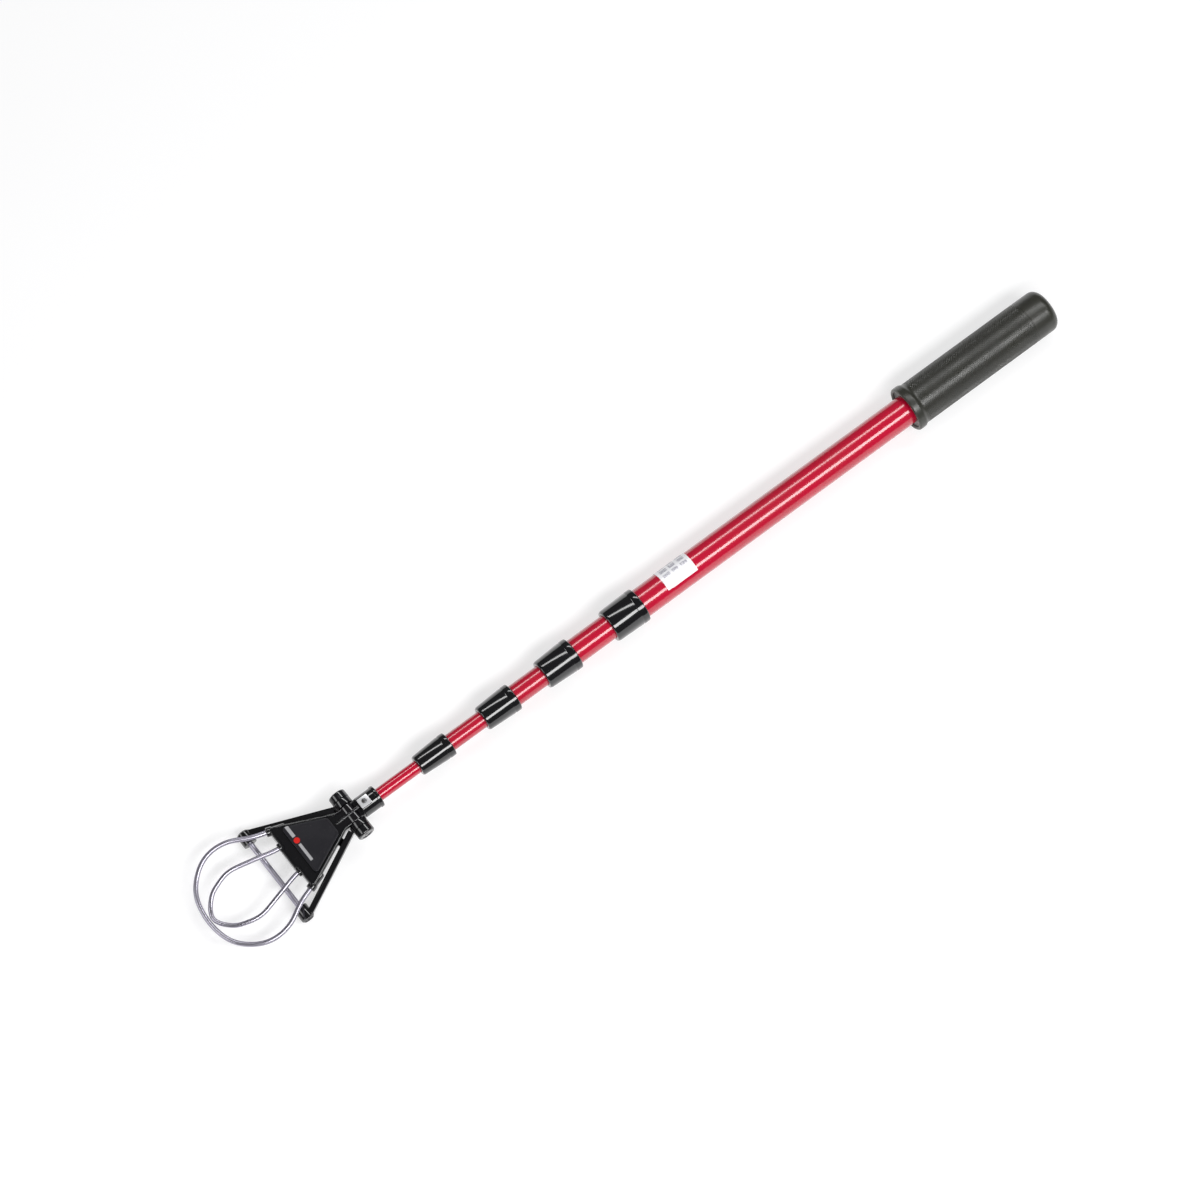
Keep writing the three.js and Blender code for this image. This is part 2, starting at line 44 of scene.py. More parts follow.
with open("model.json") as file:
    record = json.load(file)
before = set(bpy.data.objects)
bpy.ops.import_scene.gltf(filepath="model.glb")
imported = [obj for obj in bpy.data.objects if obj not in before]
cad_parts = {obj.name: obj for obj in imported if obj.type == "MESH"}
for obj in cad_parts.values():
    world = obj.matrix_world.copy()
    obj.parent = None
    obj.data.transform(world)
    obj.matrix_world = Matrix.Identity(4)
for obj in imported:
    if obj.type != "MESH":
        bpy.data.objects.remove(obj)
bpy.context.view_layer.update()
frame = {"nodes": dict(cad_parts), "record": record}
PIN_LOW, PIN_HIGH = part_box("hinge_pin")
HINGE_X = (PIN_LOW[0] + PIN_HIGH[0]) / 2
AXIS_Z = (PIN_LOW[2] + PIN_HIGH[2]) / 2
TUBE_COUNT = 5
COLLAR_COUNT = 4
SIDES = ((-1, "left"), (1, "right"))
FINISH = "finish_"
BODIES = ("handle", "section_2", "section_3", "section_4", "section_5")
TOUCH = 1e-6  # metres between places that count as one
EDGE_SMOOTHING = 30.0  # degrees between faces that are still shaded as one
PLAIN_SMOOTHING = 34.0
ROUND_SMOOTHING = 60.0


def length(name, default, description):
    return FloatProperty(name=name, default=default, description=description,
                         unit="LENGTH", subtype="DISTANCE", min=0.0)


def colour(name, default, description):
    return FloatVectorProperty(name=name, default=default, description=description,
                               subtype="COLOR", size=3, min=0.0, max=1.0)


# Sizes and colours


class PoleSizes(bpy.types.PropertyGroup):
    """Sizes of the tubes and collars that the frame doesn't give"""

    tube_wall: length("Tube wall", 0.0007, "Thickness of the drawn tube")
    tube_edge: length("Tube edge", 0.00015, "Rounding of a cut tube end")
    nose_length: length("Collar nose", 0.0022, "How far the rounded front of a collar runs back")
    nose_depth: length("Collar nose depth", 0.0011, "How much slimmer a collar's front edge is")
    heel_round: length("Collar heel", 0.0008, "Rounding of a collar's rear edge")
    front_wall: length("Collar front wall", 0.00145, "How far a collar's front stands out of its tube")
    seat_gap: length("Seat gap", 0.0001, "Between a collar and the tube that it sits on")
    mouth_gap: length("Mouth gap", 0.0003, "Between a collar and the tube that slides in it")
    mouth_edge: length("Mouth edge", 0.0002, "Cut edge of a collar's mouth")
    ledge: length("Ledge", 0.0024, "From a collar's front back to the ledge that its tube meets")
    groove_place: length("Groove place", 0.0042, "From a collar's rear edge to its groove")
    groove_slope: length("Groove slope", 0.0004, "Length of the groove's slopes")
    groove_floor: length("Groove floor", 0.0006, "Length of the groove's floor")
    groove_depth: length("Groove depth", 0.00025, "Depth of the groove")
    groove_step: length("Groove step", 0.00008, "How much lower a collar is in front of its groove")
    sticker_thickness: length("Sticker thickness", 0.00015, "Thickness of the printed film")


class GripSizes(bpy.types.PropertyGroup):
    """Sizes of the rubber grip"""

    lip_length: length("Lip length", 0.007, "Length of the flared front lip")
    flare: length("Flare", 0.00115, "How far the lip stands out of the grip")
    end_round: length("End rounding", 0.006, "Rounding of the grip's far end")
    recess: length("Recess", 0.0015, "Depth of the recess in the front face")
    bore: length("Bore", 0.0106, "Radius of the hole that the tube sits in")
    rim: length("Rim", 0.0028, "Thickness of the lip's rim at the front face")
    dimple_pitch: length("Dimple pitch", 0.00105, "From one row of squares to the next")
    dimple_edge: length("Dimple edge", 0.00016, "Width of a dimple's sloping side")
    dimple_depth: length("Dimple depth", 0.0002, "Depth of a moulded dimple")
    dimple_sides: IntProperty(name="Dimple squares", default=96, min=12,
                              description="Squares counted round the grip")
    core: length("Core", 0.002, "Radius of the flat middle of the end")
    ring_inner: length("Ring inner", 0.0085, "Inner radius of the shallow ring in the end")
    ring_outer: length("Ring outer", 0.0103, "Outer radius of that ring")
    ring_slope: length("Ring slope", 0.0005, "Width of the ring's slopes")
    ring_depth: length("Ring depth", 0.0004, "Depth of the ring")
    groove_place: length("Groove place", 0.0185, "From the far end to the groove round the grip")
    groove_slope: length("Groove slope", 0.0003, "Depth of the groove and length of its slopes")
    groove_floor: length("Groove floor", 0.0006, "Length of the groove's floor")
    flare_lead: length("Flare lead", 0.001, "How far behind the lip the flare starts")
    flare_run: length("Flare run", 0.0032, "Length of the flare")
    flare_steps: IntProperty(name="Flare steps", default=8, min=2,
                             description="Rings that the flare is made of")
    recess_slope: length("Recess slope", 0.0002, "How far the recess narrows inwards")
    end_wall: length("End wall", 0.004, "Thickness of the grip's end")


class HeadSizes(bpy.types.PropertyGroup):
    """Sizes of the head moulding, counted from the fork's hinge axis"""

    plate_front: length("Plate front", 0.0502, "From the hinge axis to the plate's front edge")
    plate_half_width: length("Plate half width", 0.0257, "Half the plate's width at its front")
    plate_half_depth: length("Plate half thickness", 0.004, "Half the plate's thickness")
    plate_corner: length("Plate corner", 0.0026, "Rounding of the plate's front corners")
    plate_edge: length("Plate edge", 0.0009, "Rounding of the plate's top and bottom edges")
    neck_end: length("Neck end", 0.0093, "Where the neck widens into the plate")
    neck_half_width: length("Neck half width", 0.0066, "Half the width of the neck")
    nose_half_width: length("Nose half width", 0.007, "Half the width of the lip in the front edge")
    nose_length: length("Nose length", 0.0016, "How far that lip stands out")
    barrel_radius: length("Barrel radius", 0.0056, "Radius of the hinge barrel")
    shoulder: length("Shoulder", 0.0065, "From the hinge axis back to the socket's shoulder")
    socket_radius: length("Socket radius", 0.0075, "Radius of the tube socket")
    bead_radius: length("Bead radius", 0.008, "Radius of the bead at the socket's mouth")
    bead_length: length("Bead length", 0.0026, "Length of that bead")
    rib_half_width: length("Rib half width", 0.0009, "Half the width of the neck's rib")
    outer_root: length("Outer wire root", 0.0242, "From the middle to each outer wire's seat")
    inner_root: length("Inner wire root", 0.0104, "From the middle to each inner wire's seat")
    outer_seat: length("Outer wire seat", 0.0134, "Length of an outer wire's boss")
    inner_seat: length("Inner wire seat", 0.0062, "Length of an inner wire's boss")
    boss_swell: length("Boss swell", 0.0006, "How much thicker a boss is at the wire's mouth")
    outer_turn: FloatProperty(name="Outer wire angle", default=0.33, subtype="ANGLE",
                              description="How far the outer wires spread as they leave the plate")
    wire_boss: length("Wire boss", 0.0032, "Radius of the swelling round each wire's seat")
    boss_core: length("Boss core", 0.0008, "Radius of the flat middle of a boss's rear end")
    boss_rear: length("Boss rear", 0.0015, "Rounding of a boss's rear end")
    boss_front: length("Boss front", 0.0008, "Rounding of a boss's front end")
    swell_rear: length("Swell start", 0.0046, "From a boss's front back to where it starts to swell")
    swell_front: length("Swell end", 0.0036, "From a boss's front back to its full radius")
    outer_mouth: length("Outer mouth", 0.0019, "Radius of an outer wire's seat at the front")
    inner_mouth: length("Inner mouth", 0.0018, "Radius of an inner wire's seat at the front")
    loop_swell: length("Loop swell", 0.00009, "Makes up for the loops' flat sides")
    plate_overlap: length("Plate overlap", 0.001, "How far the neck runs into the socket")
    top_margin: length("Top margin", 0.0009, "Width of the border on the plate's top")
    top_slope: length("Top slope", 0.00025, "Width of the slope inside that border")
    top_depth: length("Top depth", 0.0003, "How far the top lies below its border")
    under_margin: length("Under margin", 0.0013, "Width of the border under the plate")
    under_slope: length("Under slope", 0.0003, "Width of the slope inside that border")
    under_depth: length("Under depth", 0.0011, "Depth of the hollow under the plate")
    socket_bore: length("Socket bore", 0.0046, "Radius of the hole that the tube sits in")
    socket_core: length("Socket core", 0.002, "Radius of the hole in the socket's end wall")
    socket_floor: length("Socket floor", 0.0012, "Thickness of the socket's end wall")
    mouth_lead: length("Mouth lead", 0.0004, "Length of the slope into the socket's mouth")
    mouth_rise: length("Mouth rise", 0.0003, "Height of that slope")
    bead_face: length("Bead face", 0.0012, "From the bead's crest down to its flat face")
    bead_rear: length("Bead rear", 0.0008, "Rounding of the bead at the socket's mouth")
    bead_front: length("Bead front", 0.0005, "Rounding of the bead's front")
    bead_foot: length("Bead foot", 0.0001, "Length of the slope down from the bead")
    shoulder_round: length("Shoulder rounding", 0.001, "Rounding of the socket's shoulder")
    barrel_edge: length("Barrel edge", 0.0006, "Rounding of the barrel's edges")
    barrel_core: length("Barrel core", 0.0017, "Radius of the flat middle of the barrel's ends")
    rib_rear: length("Rib rear", 0.0066, "From the hinge axis back to the rib's end")
    rib_front: length("Rib front", 0.0126, "From the hinge axis to the rib's front")
    rib_foot: length("Rib foot", 0.001, "From the pole's axis up to the rib's underside")
    rib_top: length("Rib top", 0.0068, "From the pole's axis up to the rib's top")
    rib_edge: length("Rib edge", 0.0005, "Rounding of the rib's edges")
    rib_drop: length("Rib drop", 0.0022, "How far the rib runs down towards its front")
    pad_foot: length("Pad foot", 0.0055, "From the pole's axis up to the clip pad's underside")
    pad_edge: length("Pad edge", 0.0004, "Rounding of the clip pad's edges")


class CoverSizes(bpy.types.PropertyGroup):
    """Sizes of the cover panel, of the clip and rivet, and of the panel's screws"""

    front_mark: length("Mark place", 0.0396, "From the hinge axis to the printed bar")
    edge: length("Cover edge", 0.0004, "Rounding of the panel's edges")
    corner: length("Cover corner", 0.0022, "Rounding of the panel's front corners")
    left_rear: length("Left rear corner", 0.0035, "Rounding of the panel's left rear corner")
    right_rear: length("Right rear corner", 0.003, "Rounding of the panel's right rear corner")
    margin: length("Cover margin", 0.0009, "Width of the panel's raised border")
    slope: length("Cover slope", 0.0002, "Width of the slope inside the border")
    depth: length("Cover depth", 0.00018, "How far the panel lies below its border")
    clip_edge: length("Clip edge", 0.00022, "Rounding of the clip's edges")
    rivet_rim: length("Rivet rim", 0.0002, "Height and slope of the rivet head's rim")
    rivet_dome: length("Rivet dome", 0.0007, "Height of the rivet's dome")
    rivet_shank: length("Rivet shank", 0.001, "Radius of the rivet's shank")
    rivet_core: length("Rivet core", 0.0004, "Radius of the flat middle of the shank's end")
    screw_head: length("Screw head", 0.0015, "Height of a screw's head")
    screw_core: length("Screw core", 0.0008, "Radius of the flat middle of the head")
    screw_shank: length("Screw shank", 0.0014, "Radius of a screw's shank")
    shank_core: length("Shank core", 0.0004, "Radius of the flat middle of the shank's end")
    slot_reach: length("Slot reach", 0.0017, "Half the length of each slot")
    slot_half_width: length("Slot half width", 0.00035, "Half the width of each slot")
    slot_depth: length("Slot depth", 0.0008, "Depth of each slot")
    slot_clear: length("Slot clearance", 0.0005, "How far the slot's cutter stands out of the head")
    slot_edge: length("Slot edge", 0.0001, "Cut edges of the slots")


class HingeSizes(bpy.types.PropertyGroup):
    """Sizes of the spring caps, the springs and the pin"""

    cap_wall: length("Cap wall", 0.0012, "Wall of each spring cap")
    cap_round: length("Cap rounding", 0.0012, "Rounding of a cap's outer edge")
    cap_rim: length("Cap rim", 0.0002, "Cut edge of a cap's open end")
    cap_core: length("Cap core", 0.0004, "Radius of the flat middle of the cap's floor")
    cavity_edge: length("Cavity edge", 0.0003, "Cut edge of the cap's floor")
    dish_radius: length("Dish radius", 0.0038, "Radius of the shallow dish in a cap's face")
    dish_slope: length("Dish slope", 0.0002, "Width of the dish's slope")
    dish_depth: length("Dish depth", 0.00035, "Depth of the dish")
    button_radius: length("Button radius", 0.0014, "Radius of the button in the dish")
    button_slope: length("Button slope", 0.0003, "Width of the button's slope")
    button_drop: length("Button drop", 0.0001, "How far the button lies below the cap's face")
    spring_swell: length("Spring swell", 0.00005, "Makes up for the spring's flat sides")
    pin_edge: length("Pin edge", 0.0003, "Cut edges of the hinge pin")
    pin_core: length("Pin core", 0.0003, "Radius of the flat middle of the pin's ends")


class ForkSizes(bpy.types.PropertyGroup):
    """Sizes of the fork"""

    arm_round: length("Arm rounding", 0.0007, "Rounding of the fork arms' edges")
    bar_edge: length("Crossbar edge", 0.0004, "Cut edges of the crossbar's ends")
    bar_core: length("Crossbar core", 0.0004, "Radius of the flat middle of the crossbar's ends")
    plug_round: length("Plug rounding", 0.0006, "Rounding of an end plug's outer edge")
    plug_hollow: length("Plug hollow", 0.0012, "Radius of the dimple in a plug's face")
    plug_dimple: length("Plug dimple", 0.0003, "Depth of that dimple and width of its slope")
    plug_core: length("Plug core", 0.0003, "Radius of the flat middle of the dimple")


class Colours(bpy.types.PropertyGroup):
    """Base colours of the finishes"""

    red: colour("Tube red", (0.5, 0.0025, 0.03), "Anodised tubes")
    deep_red: colour("Deep red", (0.4, 0.002, 0.02), "Darker patches of the tubes")
    black: colour("Black", (0.0035, 0.0035, 0.0045), "Gloss moulded plastic")
    worn_black: colour("Worn black", (0.05, 0.05, 0.055), "Rubbed edges of the black plastic")
    charcoal: colour("Charcoal", (0.014, 0.0135, 0.017), "Cover panel")
    rubber: colour("Rubber", (0.031, 0.0315, 0.025), "Grip")
    # Also painted shade: the grip's dimples get this colour to stand in for the shade that falls in them
    dark_rubber_and_dimple_shade: colour("Dark rubber", (0.009, 0.009, 0.0075), "Dimples and handled patches of the grip")
    wire: colour("Wire", (0.56, 0.54, 0.62), "Polished wire")
    dull_wire: colour("Dull wire", (0.36, 0.345, 0.41), "Rubbed patches of the wire")
    spring: colour("Spring steel", (0.2, 0.2, 0.21), "Springs and rivet")
    nylon: colour("Nylon", (0.74, 0.72, 0.66), "Guide rings and bushes")
    film: colour("Film", (0.9, 0.9, 0.93), "Sticker")
    print_grey: colour("Print grey", (0.3, 0.29, 0.36), "Generic print on the sticker")
    mark: colour("Mark", (0.36, 0.36, 0.37), "Bar printed on the cover")
    mark_red: colour("Mark red", (0.6, 0.015, 0.01), "Dot printed on the cover")
    red_dust: colour("Red dust", (0.8, 0.5, 0.5), "Dust on the tubes")
    dust: colour("Dust", (0.3, 0.29, 0.28), "Dust on black plastic")
    worn_charcoal: colour("Worn charcoal", (0.11, 0.11, 0.12), "Rubbed edges of the cover")
    rubber_dust: colour("Rubber dust", (0.26, 0.25, 0.22), "Dust on the grip")
    wire_edge: colour("Wire edge", (0.1, 0.09, 0.13), "Wire seen at a low angle")
    dull_spring: colour("Dull spring", (0.1, 0.095, 0.09), "Dull patches of the springs")
    clip_base: colour("Clip base", (0.9, 0.9, 0.92), "Plain colour of the clip")
    clip: colour("Clip", (0.86, 0.86, 0.88), "Clip on the socket")
    worn_clip: colour("Worn clip", (0.5, 0.5, 0.52), "Rubbed edges of the clip")
    rubbed_nylon: colour("Rubbed nylon", (0.5, 0.47, 0.42), "Rubbed patches of the nylon")
    film_dust: colour("Film dust", (0.5, 0.48, 0.45), "Dust on the sticker")


class StageSizes(bpy.types.PropertyGroup):
    """Camera, lights and floor"""

    distance: FloatProperty(name="Distance", default=3.5, unit="LENGTH",
                            description="From the camera to the object")
    elevation: FloatProperty(name="Elevation", default=math.radians(71.0), subtype="ANGLE",
                             description="Height of the camera above the floor, as an angle")
    azimuth: FloatProperty(name="Azimuth", default=math.radians(142.314), subtype="ANGLE",
                           description="Bearing of the camera")
    target: length("Target", 0.00435, "Along the pole, from the origin to what the camera faces")
    lens: FloatProperty(name="Lens", default=157.5, description="Focal length in millimetres")
    shift_x: FloatProperty(name="Shift X", default=-0.02469, description="Sideways lens shift")
    shift_y: FloatProperty(name="Shift Y", default=0.01648, description="Upward lens shift")
    floor_colour: colour("Floor", (0.48, 0.48, 0.485), "Pale sweep under the object")
    key_power: FloatProperty(name="Key power", default=22.0, description="Long softbox, in watts")
    fill_power: FloatProperty(name="Fill power", default=8.0, description="Second softbox, in watts")
    head_power: FloatProperty(name="Head power", default=4.0,
                              description="Third softbox, beyond the head, in watts")
    sky: FloatProperty(name="Surround", default=0.1, description="Strength of the studio's walls")
    steps: IntProperty(name="Turned sides", default=96, min=12,
                       description="Sides of the turned pieces")


# Tools for the pieces


def settings():
    return bpy.context.scene.retriever


def at(x, y, z):
    """A place in the frame, from metres counted from the middle of the hinge axis."""
    return Vector((HINGE_X + x, y, AXIS_Z + z))


def deselect():
    if bpy.context.mode != "OBJECT":
        bpy.ops.object.mode_set(mode="OBJECT")
    bpy.ops.object.select_all(action="DESELECT")


def only(piece):
    deselect()
    piece.select_set(True)
    bpy.context.view_layer.objects.active = piece


def edit(piece):
    only(piece)
    bpy.ops.object.mode_set(mode="EDIT")
    bpy.ops.mesh.select_mode(type="VERT")


def half_width(node):
    """Half the width of a CAD node, which is the radius of a round one along X."""
    low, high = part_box(node)
    return (high[1] - low[1]) / 2


def box_axis(node):
    """The middle of a CAD node, seen along Y."""
    low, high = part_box(node)
    return ((low[0] + high[0]) / 2, 0, (low[2] + high[2]) / 2)


def pick(piece, test, kind="VERT"):
    """Selects what passes a test of its middle and its direction, in edit mode."""
    bpy.ops.mesh.select_mode(type=kind)
    bpy.ops.mesh.select_all(action="DESELECT")
    mesh = bmesh.from_edit_mesh(piece.data)
    items = {"VERT": mesh.verts, "EDGE": mesh.edges, "FACE": mesh.faces}[kind]
    matrix = piece.matrix_world
    turn = matrix.to_3x3()
    picked = False
    for item in items:
        if kind == "VERT":
            middle, way = item.co, Vector()
        elif kind == "EDGE":
            start, end = (vertex.co for vertex in item.verts)
            middle, way = (start + end) / 2, end - start
        else:
            middle, way = item.calc_center_median(), item.normal
        if test(matrix @ middle, (turn @ way).normalized()):
            item.select_set(True)
            picked = True
    bmesh.update_edit_mesh(piece.data)
    if not picked:
        raise RuntimeError(f"nothing was picked on {piece.name}")


def apply_place(piece):
    only(piece)
    bpy.ops.object.transform_apply(location=True, rotation=True, scale=True)


def modify(piece, kind, **values):
    only(piece)
    modifier = piece.modifiers.new(kind.title(), kind)
    for name, value in values.items():
        setattr(modifier, name, value)
    bpy.ops.object.modifier_apply(modifier=modifier.name)


def turned(stations, axis="X", centre=(0.0, 0.0, 0.0), closed=False, sides=None):
    """A body turned about a line through the centre, from its (place, radius) stations."""
    way = "XYZ".index(axis)
    turn = {"X": (0, math.pi / 2, 0), "Y": (math.pi / 2, 0, 0), "Z": (0, 0, 0)}[axis]
    centre = Vector(centre)

    def point(place):
        spot = centre.copy()
        spot[way] = place
        return spot

    at_place, radius = stations[0]
    deselect()
    bpy.ops.mesh.primitive_circle_add(vertices=sides or settings().stage.steps, radius=radius,
                                      location=point(at_place), rotation=turn)
    piece = bpy.context.object
    edit(piece)
    bpy.ops.mesh.select_all(action="SELECT")
    for place, size in stations[1:]:
        move = Vector()
        move[way] = place - at_place
        grow = [size / radius] * 3
        grow[way] = 1.0
        bpy.ops.mesh.extrude_region_move(TRANSFORM_OT_translate={"value": move})
        if not math.isclose(size, radius):
            bpy.ops.transform.resize(value=grow, center_override=point(place))
        at_place, radius = place, size
    bpy.ops.mesh.select_all(action="SELECT")
    if closed:
        bpy.ops.mesh.remove_doubles(threshold=TOUCH)
    else:
        bpy.ops.mesh.fill_holes(sides=0)
    bpy.ops.mesh.select_all(action="SELECT")
    bpy.ops.mesh.normals_make_consistent(inside=False)
    apply_place(piece)
    return piece


def rounded(place, radius, along, across, start, end, steps=6):
    """Stations of a rounded edge about a middle, between two angles in degrees."""
    angles = [math.radians(start + (end - start) * k / steps) for k in range(steps + 1)]
    return [(place + along * math.cos(a), radius + across * math.sin(a)) for a in angles]


def rear_edge(place, radius, size, steps=6):
    """Stations of the rounded edge where a turned body starts."""
    return rounded(place + size, radius - size, size, size, 180, 90, steps)


def front_edge(place, radius, size, steps=6):
    """Stations of the rounded edge where a turned body ends."""
    return rounded(place - size, radius - size, size, size, 90, 0, steps)


def panel(outline, low, high, edge=0.0, segments=3):
    """A level panel with rounded edges, from its outline seen from above."""
    deselect()
    bpy.ops.mesh.primitive_circle_add(vertices=len(outline), radius=0.01, location=(0, 0, low))
    piece = bpy.context.object
    for vertex, (x, y) in zip(piece.data.vertices, outline):
        vertex.co = (x, y, 0.0)
    edit(piece)
    bpy.ops.mesh.select_all(action="SELECT")
    bpy.ops.mesh.edge_face_add()
    bpy.ops.mesh.extrude_region_move(TRANSFORM_OT_translate={"value": (0, 0, high - low)})
    bpy.ops.mesh.select_all(action="SELECT")
    bpy.ops.mesh.normals_make_consistent(inside=False)
    if edge:
        # a cut edge runs level along the top or the bottom
        pick(piece, lambda m, w: abs(w.z) < 0.1 and min(abs(m.z - low), abs(m.z - high)) < TOUCH,
             "EDGE")
        bpy.ops.mesh.bevel(offset=edge, segments=segments, affect="EDGES", clamp_overlap=True)
        bpy.ops.mesh.select_all(action="SELECT")
        bpy.ops.mesh.remove_doubles(threshold=10 * TOUCH)
    apply_place(piece)
    return piece


def pressed(piece, level, facing, margin, slope, depth):
    """Presses a panel's level face in, inside a margin. Facing is 1 for up and -1 for down."""
    edit(piece)
    pick(piece, lambda m, w: abs(m.z - level) < TOUCH and facing * w.z > 0.99, "FACE")
    bpy.ops.mesh.inset(thickness=margin)
    bpy.ops.mesh.inset(thickness=slope)
    bpy.ops.transform.translate(value=(0, 0, -facing * depth))
    deselect()


def softened(outline, sizes, steps=5):
    """An outline with each corner rounded by its own size."""
    points = []
    count = len(outline)
    for k, corner in enumerate(outline):
        corner = Vector(corner)
        if not sizes[k]:
            points.append(tuple(corner))
            continue
        back = (Vector(outline[k - 1]) - corner).normalized()
        ahead = (Vector(outline[(k + 1) % count]) - corner).normalized()
        half = back.angle(ahead) / 2
        reach = sizes[k] / math.tan(half)
        middle = corner + (back + ahead).normalized() * (sizes[k] / math.sin(half))
        start, end = corner + back * reach - middle, corner + ahead * reach - middle
        sweep = start.angle_signed(end)
        for s in range(steps + 1):
            arm = start.copy()
            turn = -sweep * s / steps
            points.append((middle.x + arm.x * math.cos(turn) - arm.y * math.sin(turn),
                           middle.y + arm.x * math.sin(turn) + arm.y * math.cos(turn)))
    return points


def block(low, high, edge, segments=3):
    """A box with rounded edges."""
    low, high = Vector(low), Vector(high)
    deselect()
    bpy.ops.mesh.primitive_cube_add(size=1, location=(low + high) / 2)
    piece = bpy.context.object
    piece.scale = high - low
    apply_place(piece)
    edit(piece)
    bpy.ops.mesh.select_all(action="SELECT")
    bpy.ops.mesh.bevel(offset=edge, segments=segments, affect="EDGES")
    deselect()
    return piece


def joined(pieces):
    only(pieces[0])
    for piece in pieces:
        piece.select_set(True)
    bpy.ops.object.join()
    return bpy.context.object


def cut(piece, cutter):
    modify(piece, "BOOLEAN", operation="DIFFERENCE", object=cutter, solver="EXACT")
    bpy.data.objects.remove(cutter)


def copied(piece):
    """A copy of a finished piece with its own mesh."""
    twin = piece.copy()
    twin.data = piece.data.copy()
    bpy.context.scene.collection.objects.link(twin)
    return twin


def copy_of_node(node):
    """A copy of a CAD node's mesh, its corners merged, ready to be refined."""
    source = frame["nodes"][node]
    piece = bpy.data.objects.new("copy", source.data.copy())
    bpy.context.scene.collection.objects.link(piece)
    piece.matrix_world = source.matrix_world
    apply_place(piece)
    edit(piece)
    bpy.ops.mesh.select_all(action="SELECT")
    bpy.ops.mesh.remove_doubles(threshold=TOUCH)
    bpy.ops.mesh.customdata_custom_splitnormals_clear()
    return piece


def round_wire(node, levels, swell):
    """A finer copy of a wire: its facets become a smooth round bar of the same thickness."""
    piece = copy_of_node(node)
    bpy.ops.mesh.tris_convert_to_quads(face_threshold=1.2, shape_threshold=1.2)
    bpy.ops.mesh.select_all(action="SELECT")
    bpy.ops.transform.shrink_fatten(value=swell)
    modify(piece, "SUBSURF", levels=levels, render_levels=levels)
    return piece


def plain_bar(node, edge, core):
    """A round bar along Y with cut edges, in the box of a CAD node."""
    low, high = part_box(node)
    radius = (high[0] - low[0]) / 2
    stations = [(low[1], core), (low[1], radius - edge), (low[1] + edge, radius),
                (high[1] - edge, radius), (high[1], radius - edge), (high[1], core)]
    return turned(stations, "Y", box_axis(node), sides=48)


def finish_piece(piece, name, body, slot, nodes=(), smooth=PLAIN_SMOOTHING, material=None):
    """Names a piece, smooths it, gives it its finish, sets what it rides on and hides the CAD nodes that
    it replaces.
    """
    only(piece)
    bpy.ops.object.transform_apply(location=True, rotation=True, scale=True)
    bpy.ops.object.shade_smooth_by_angle(angle=math.radians(smooth))
    piece.name = piece.data.name = name
    piece.data.materials.clear()
    piece.data.materials.append(bpy.data.materials[FINISH + (material or slot)])
    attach(piece, body)
    if nodes:
        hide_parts(*nodes)
    deselect()


# Shader node groups and materials


def link(tree, source, target):
    tree.links.new(source, target)


def add_node(tree, kind, **values):
    node = tree.nodes.new(kind)
    for name, value in values.items():
        setattr(node, name, value)
    return node


def math_node(tree, operation, *inputs):
    node = add_node(tree, "ShaderNodeMath", operation=operation)
    for socket, value in zip(node.inputs, inputs):
        if isinstance(value, (int, float)):
            socket.default_value = value
        else:
            link(tree, value, socket)
    return node.outputs[0]


def new_group(name, inputs, outputs):
    """An empty shader node group with named sockets."""
    group = bpy.data.node_groups.new(name, "ShaderNodeTree")
    for label, kind, value in inputs:
        socket = group.interface.new_socket(name=label, in_out="INPUT", socket_type=kind)
        if value is not None:
            socket.default_value = value
    for label, kind in outputs:
        group.interface.new_socket(name=label, in_out="OUTPUT", socket_type=kind)
    return group, group.nodes.new("NodeGroupInput"), group.nodes.new("NodeGroupOutput")


def object_place(tree):
    return add_node(tree, "ShaderNodeTexCoord").outputs["Object"]


def ramp(tree, value, low, high):
    """A value spread from 0 to 1 between two levels."""
    node = add_node(tree, "ShaderNodeMapRange", interpolation_type="SMOOTHSTEP")
    link(tree, value, node.inputs["Value"])
    node.inputs["From Min"].default_value = low
    node.inputs["From Max"].default_value = high
    return node.outputs["Result"]


def noise(tree, place, scale, detail=3.0, stretch=None):
    if stretch:
        mapping = add_node(tree, "ShaderNodeMapping")
        mapping.inputs["Scale"].default_value = stretch
        link(tree, place, mapping.inputs["Vector"])
        place = mapping.outputs["Vector"]
    node = add_node(tree, "ShaderNodeTexNoise")
    link(tree, place, node.inputs["Vector"])
    if isinstance(scale, (int, float)):
        node.inputs["Scale"].default_value = scale
    else:
        link(tree, scale, node.inputs["Scale"])
    node.inputs["Detail"].default_value = detail
    return node.outputs["Fac"]


def build_edge_wear():
    """Rubbed patches along sharp edges."""
    group, given, put = new_group("edge wear", [
        ("Amount", "NodeSocketFloat", 0.5), ("Patch Scale", "NodeSocketFloat", 220.0)],
        [("Mask", "NodeSocketFloat")])
    place = object_place(group)
    point = add_node(group, "ShaderNodeNewGeometry").outputs["Pointiness"]
    edges = ramp(group, point, 0.57, 0.68)
    patches = ramp(group, noise(group, place, given.outputs["Patch Scale"], 5.0), 0.42, 0.66)
    worn = math_node(group, "MULTIPLY", edges, patches)
    link(group, math_node(group, "MULTIPLY", worn, given.outputs["Amount"]), put.inputs["Mask"])


def build_smudges():
    """Broad handled patches and fine specks of dust."""
    group, given, put = new_group("smudges", [
        ("Patch Scale", "NodeSocketFloat", 28.0), ("Dust Scale", "NodeSocketFloat", 900.0)],
        [("Patches", "NodeSocketFloat"), ("Dust", "NodeSocketFloat")])
    place = object_place(group)
    link(group, ramp(group, noise(group, place, given.outputs["Patch Scale"], 4.0), 0.36, 0.68),
         put.inputs["Patches"])
    link(group, ramp(group, noise(group, place, given.outputs["Dust Scale"], 2.0), 0.66, 0.78),
         put.inputs["Dust"])


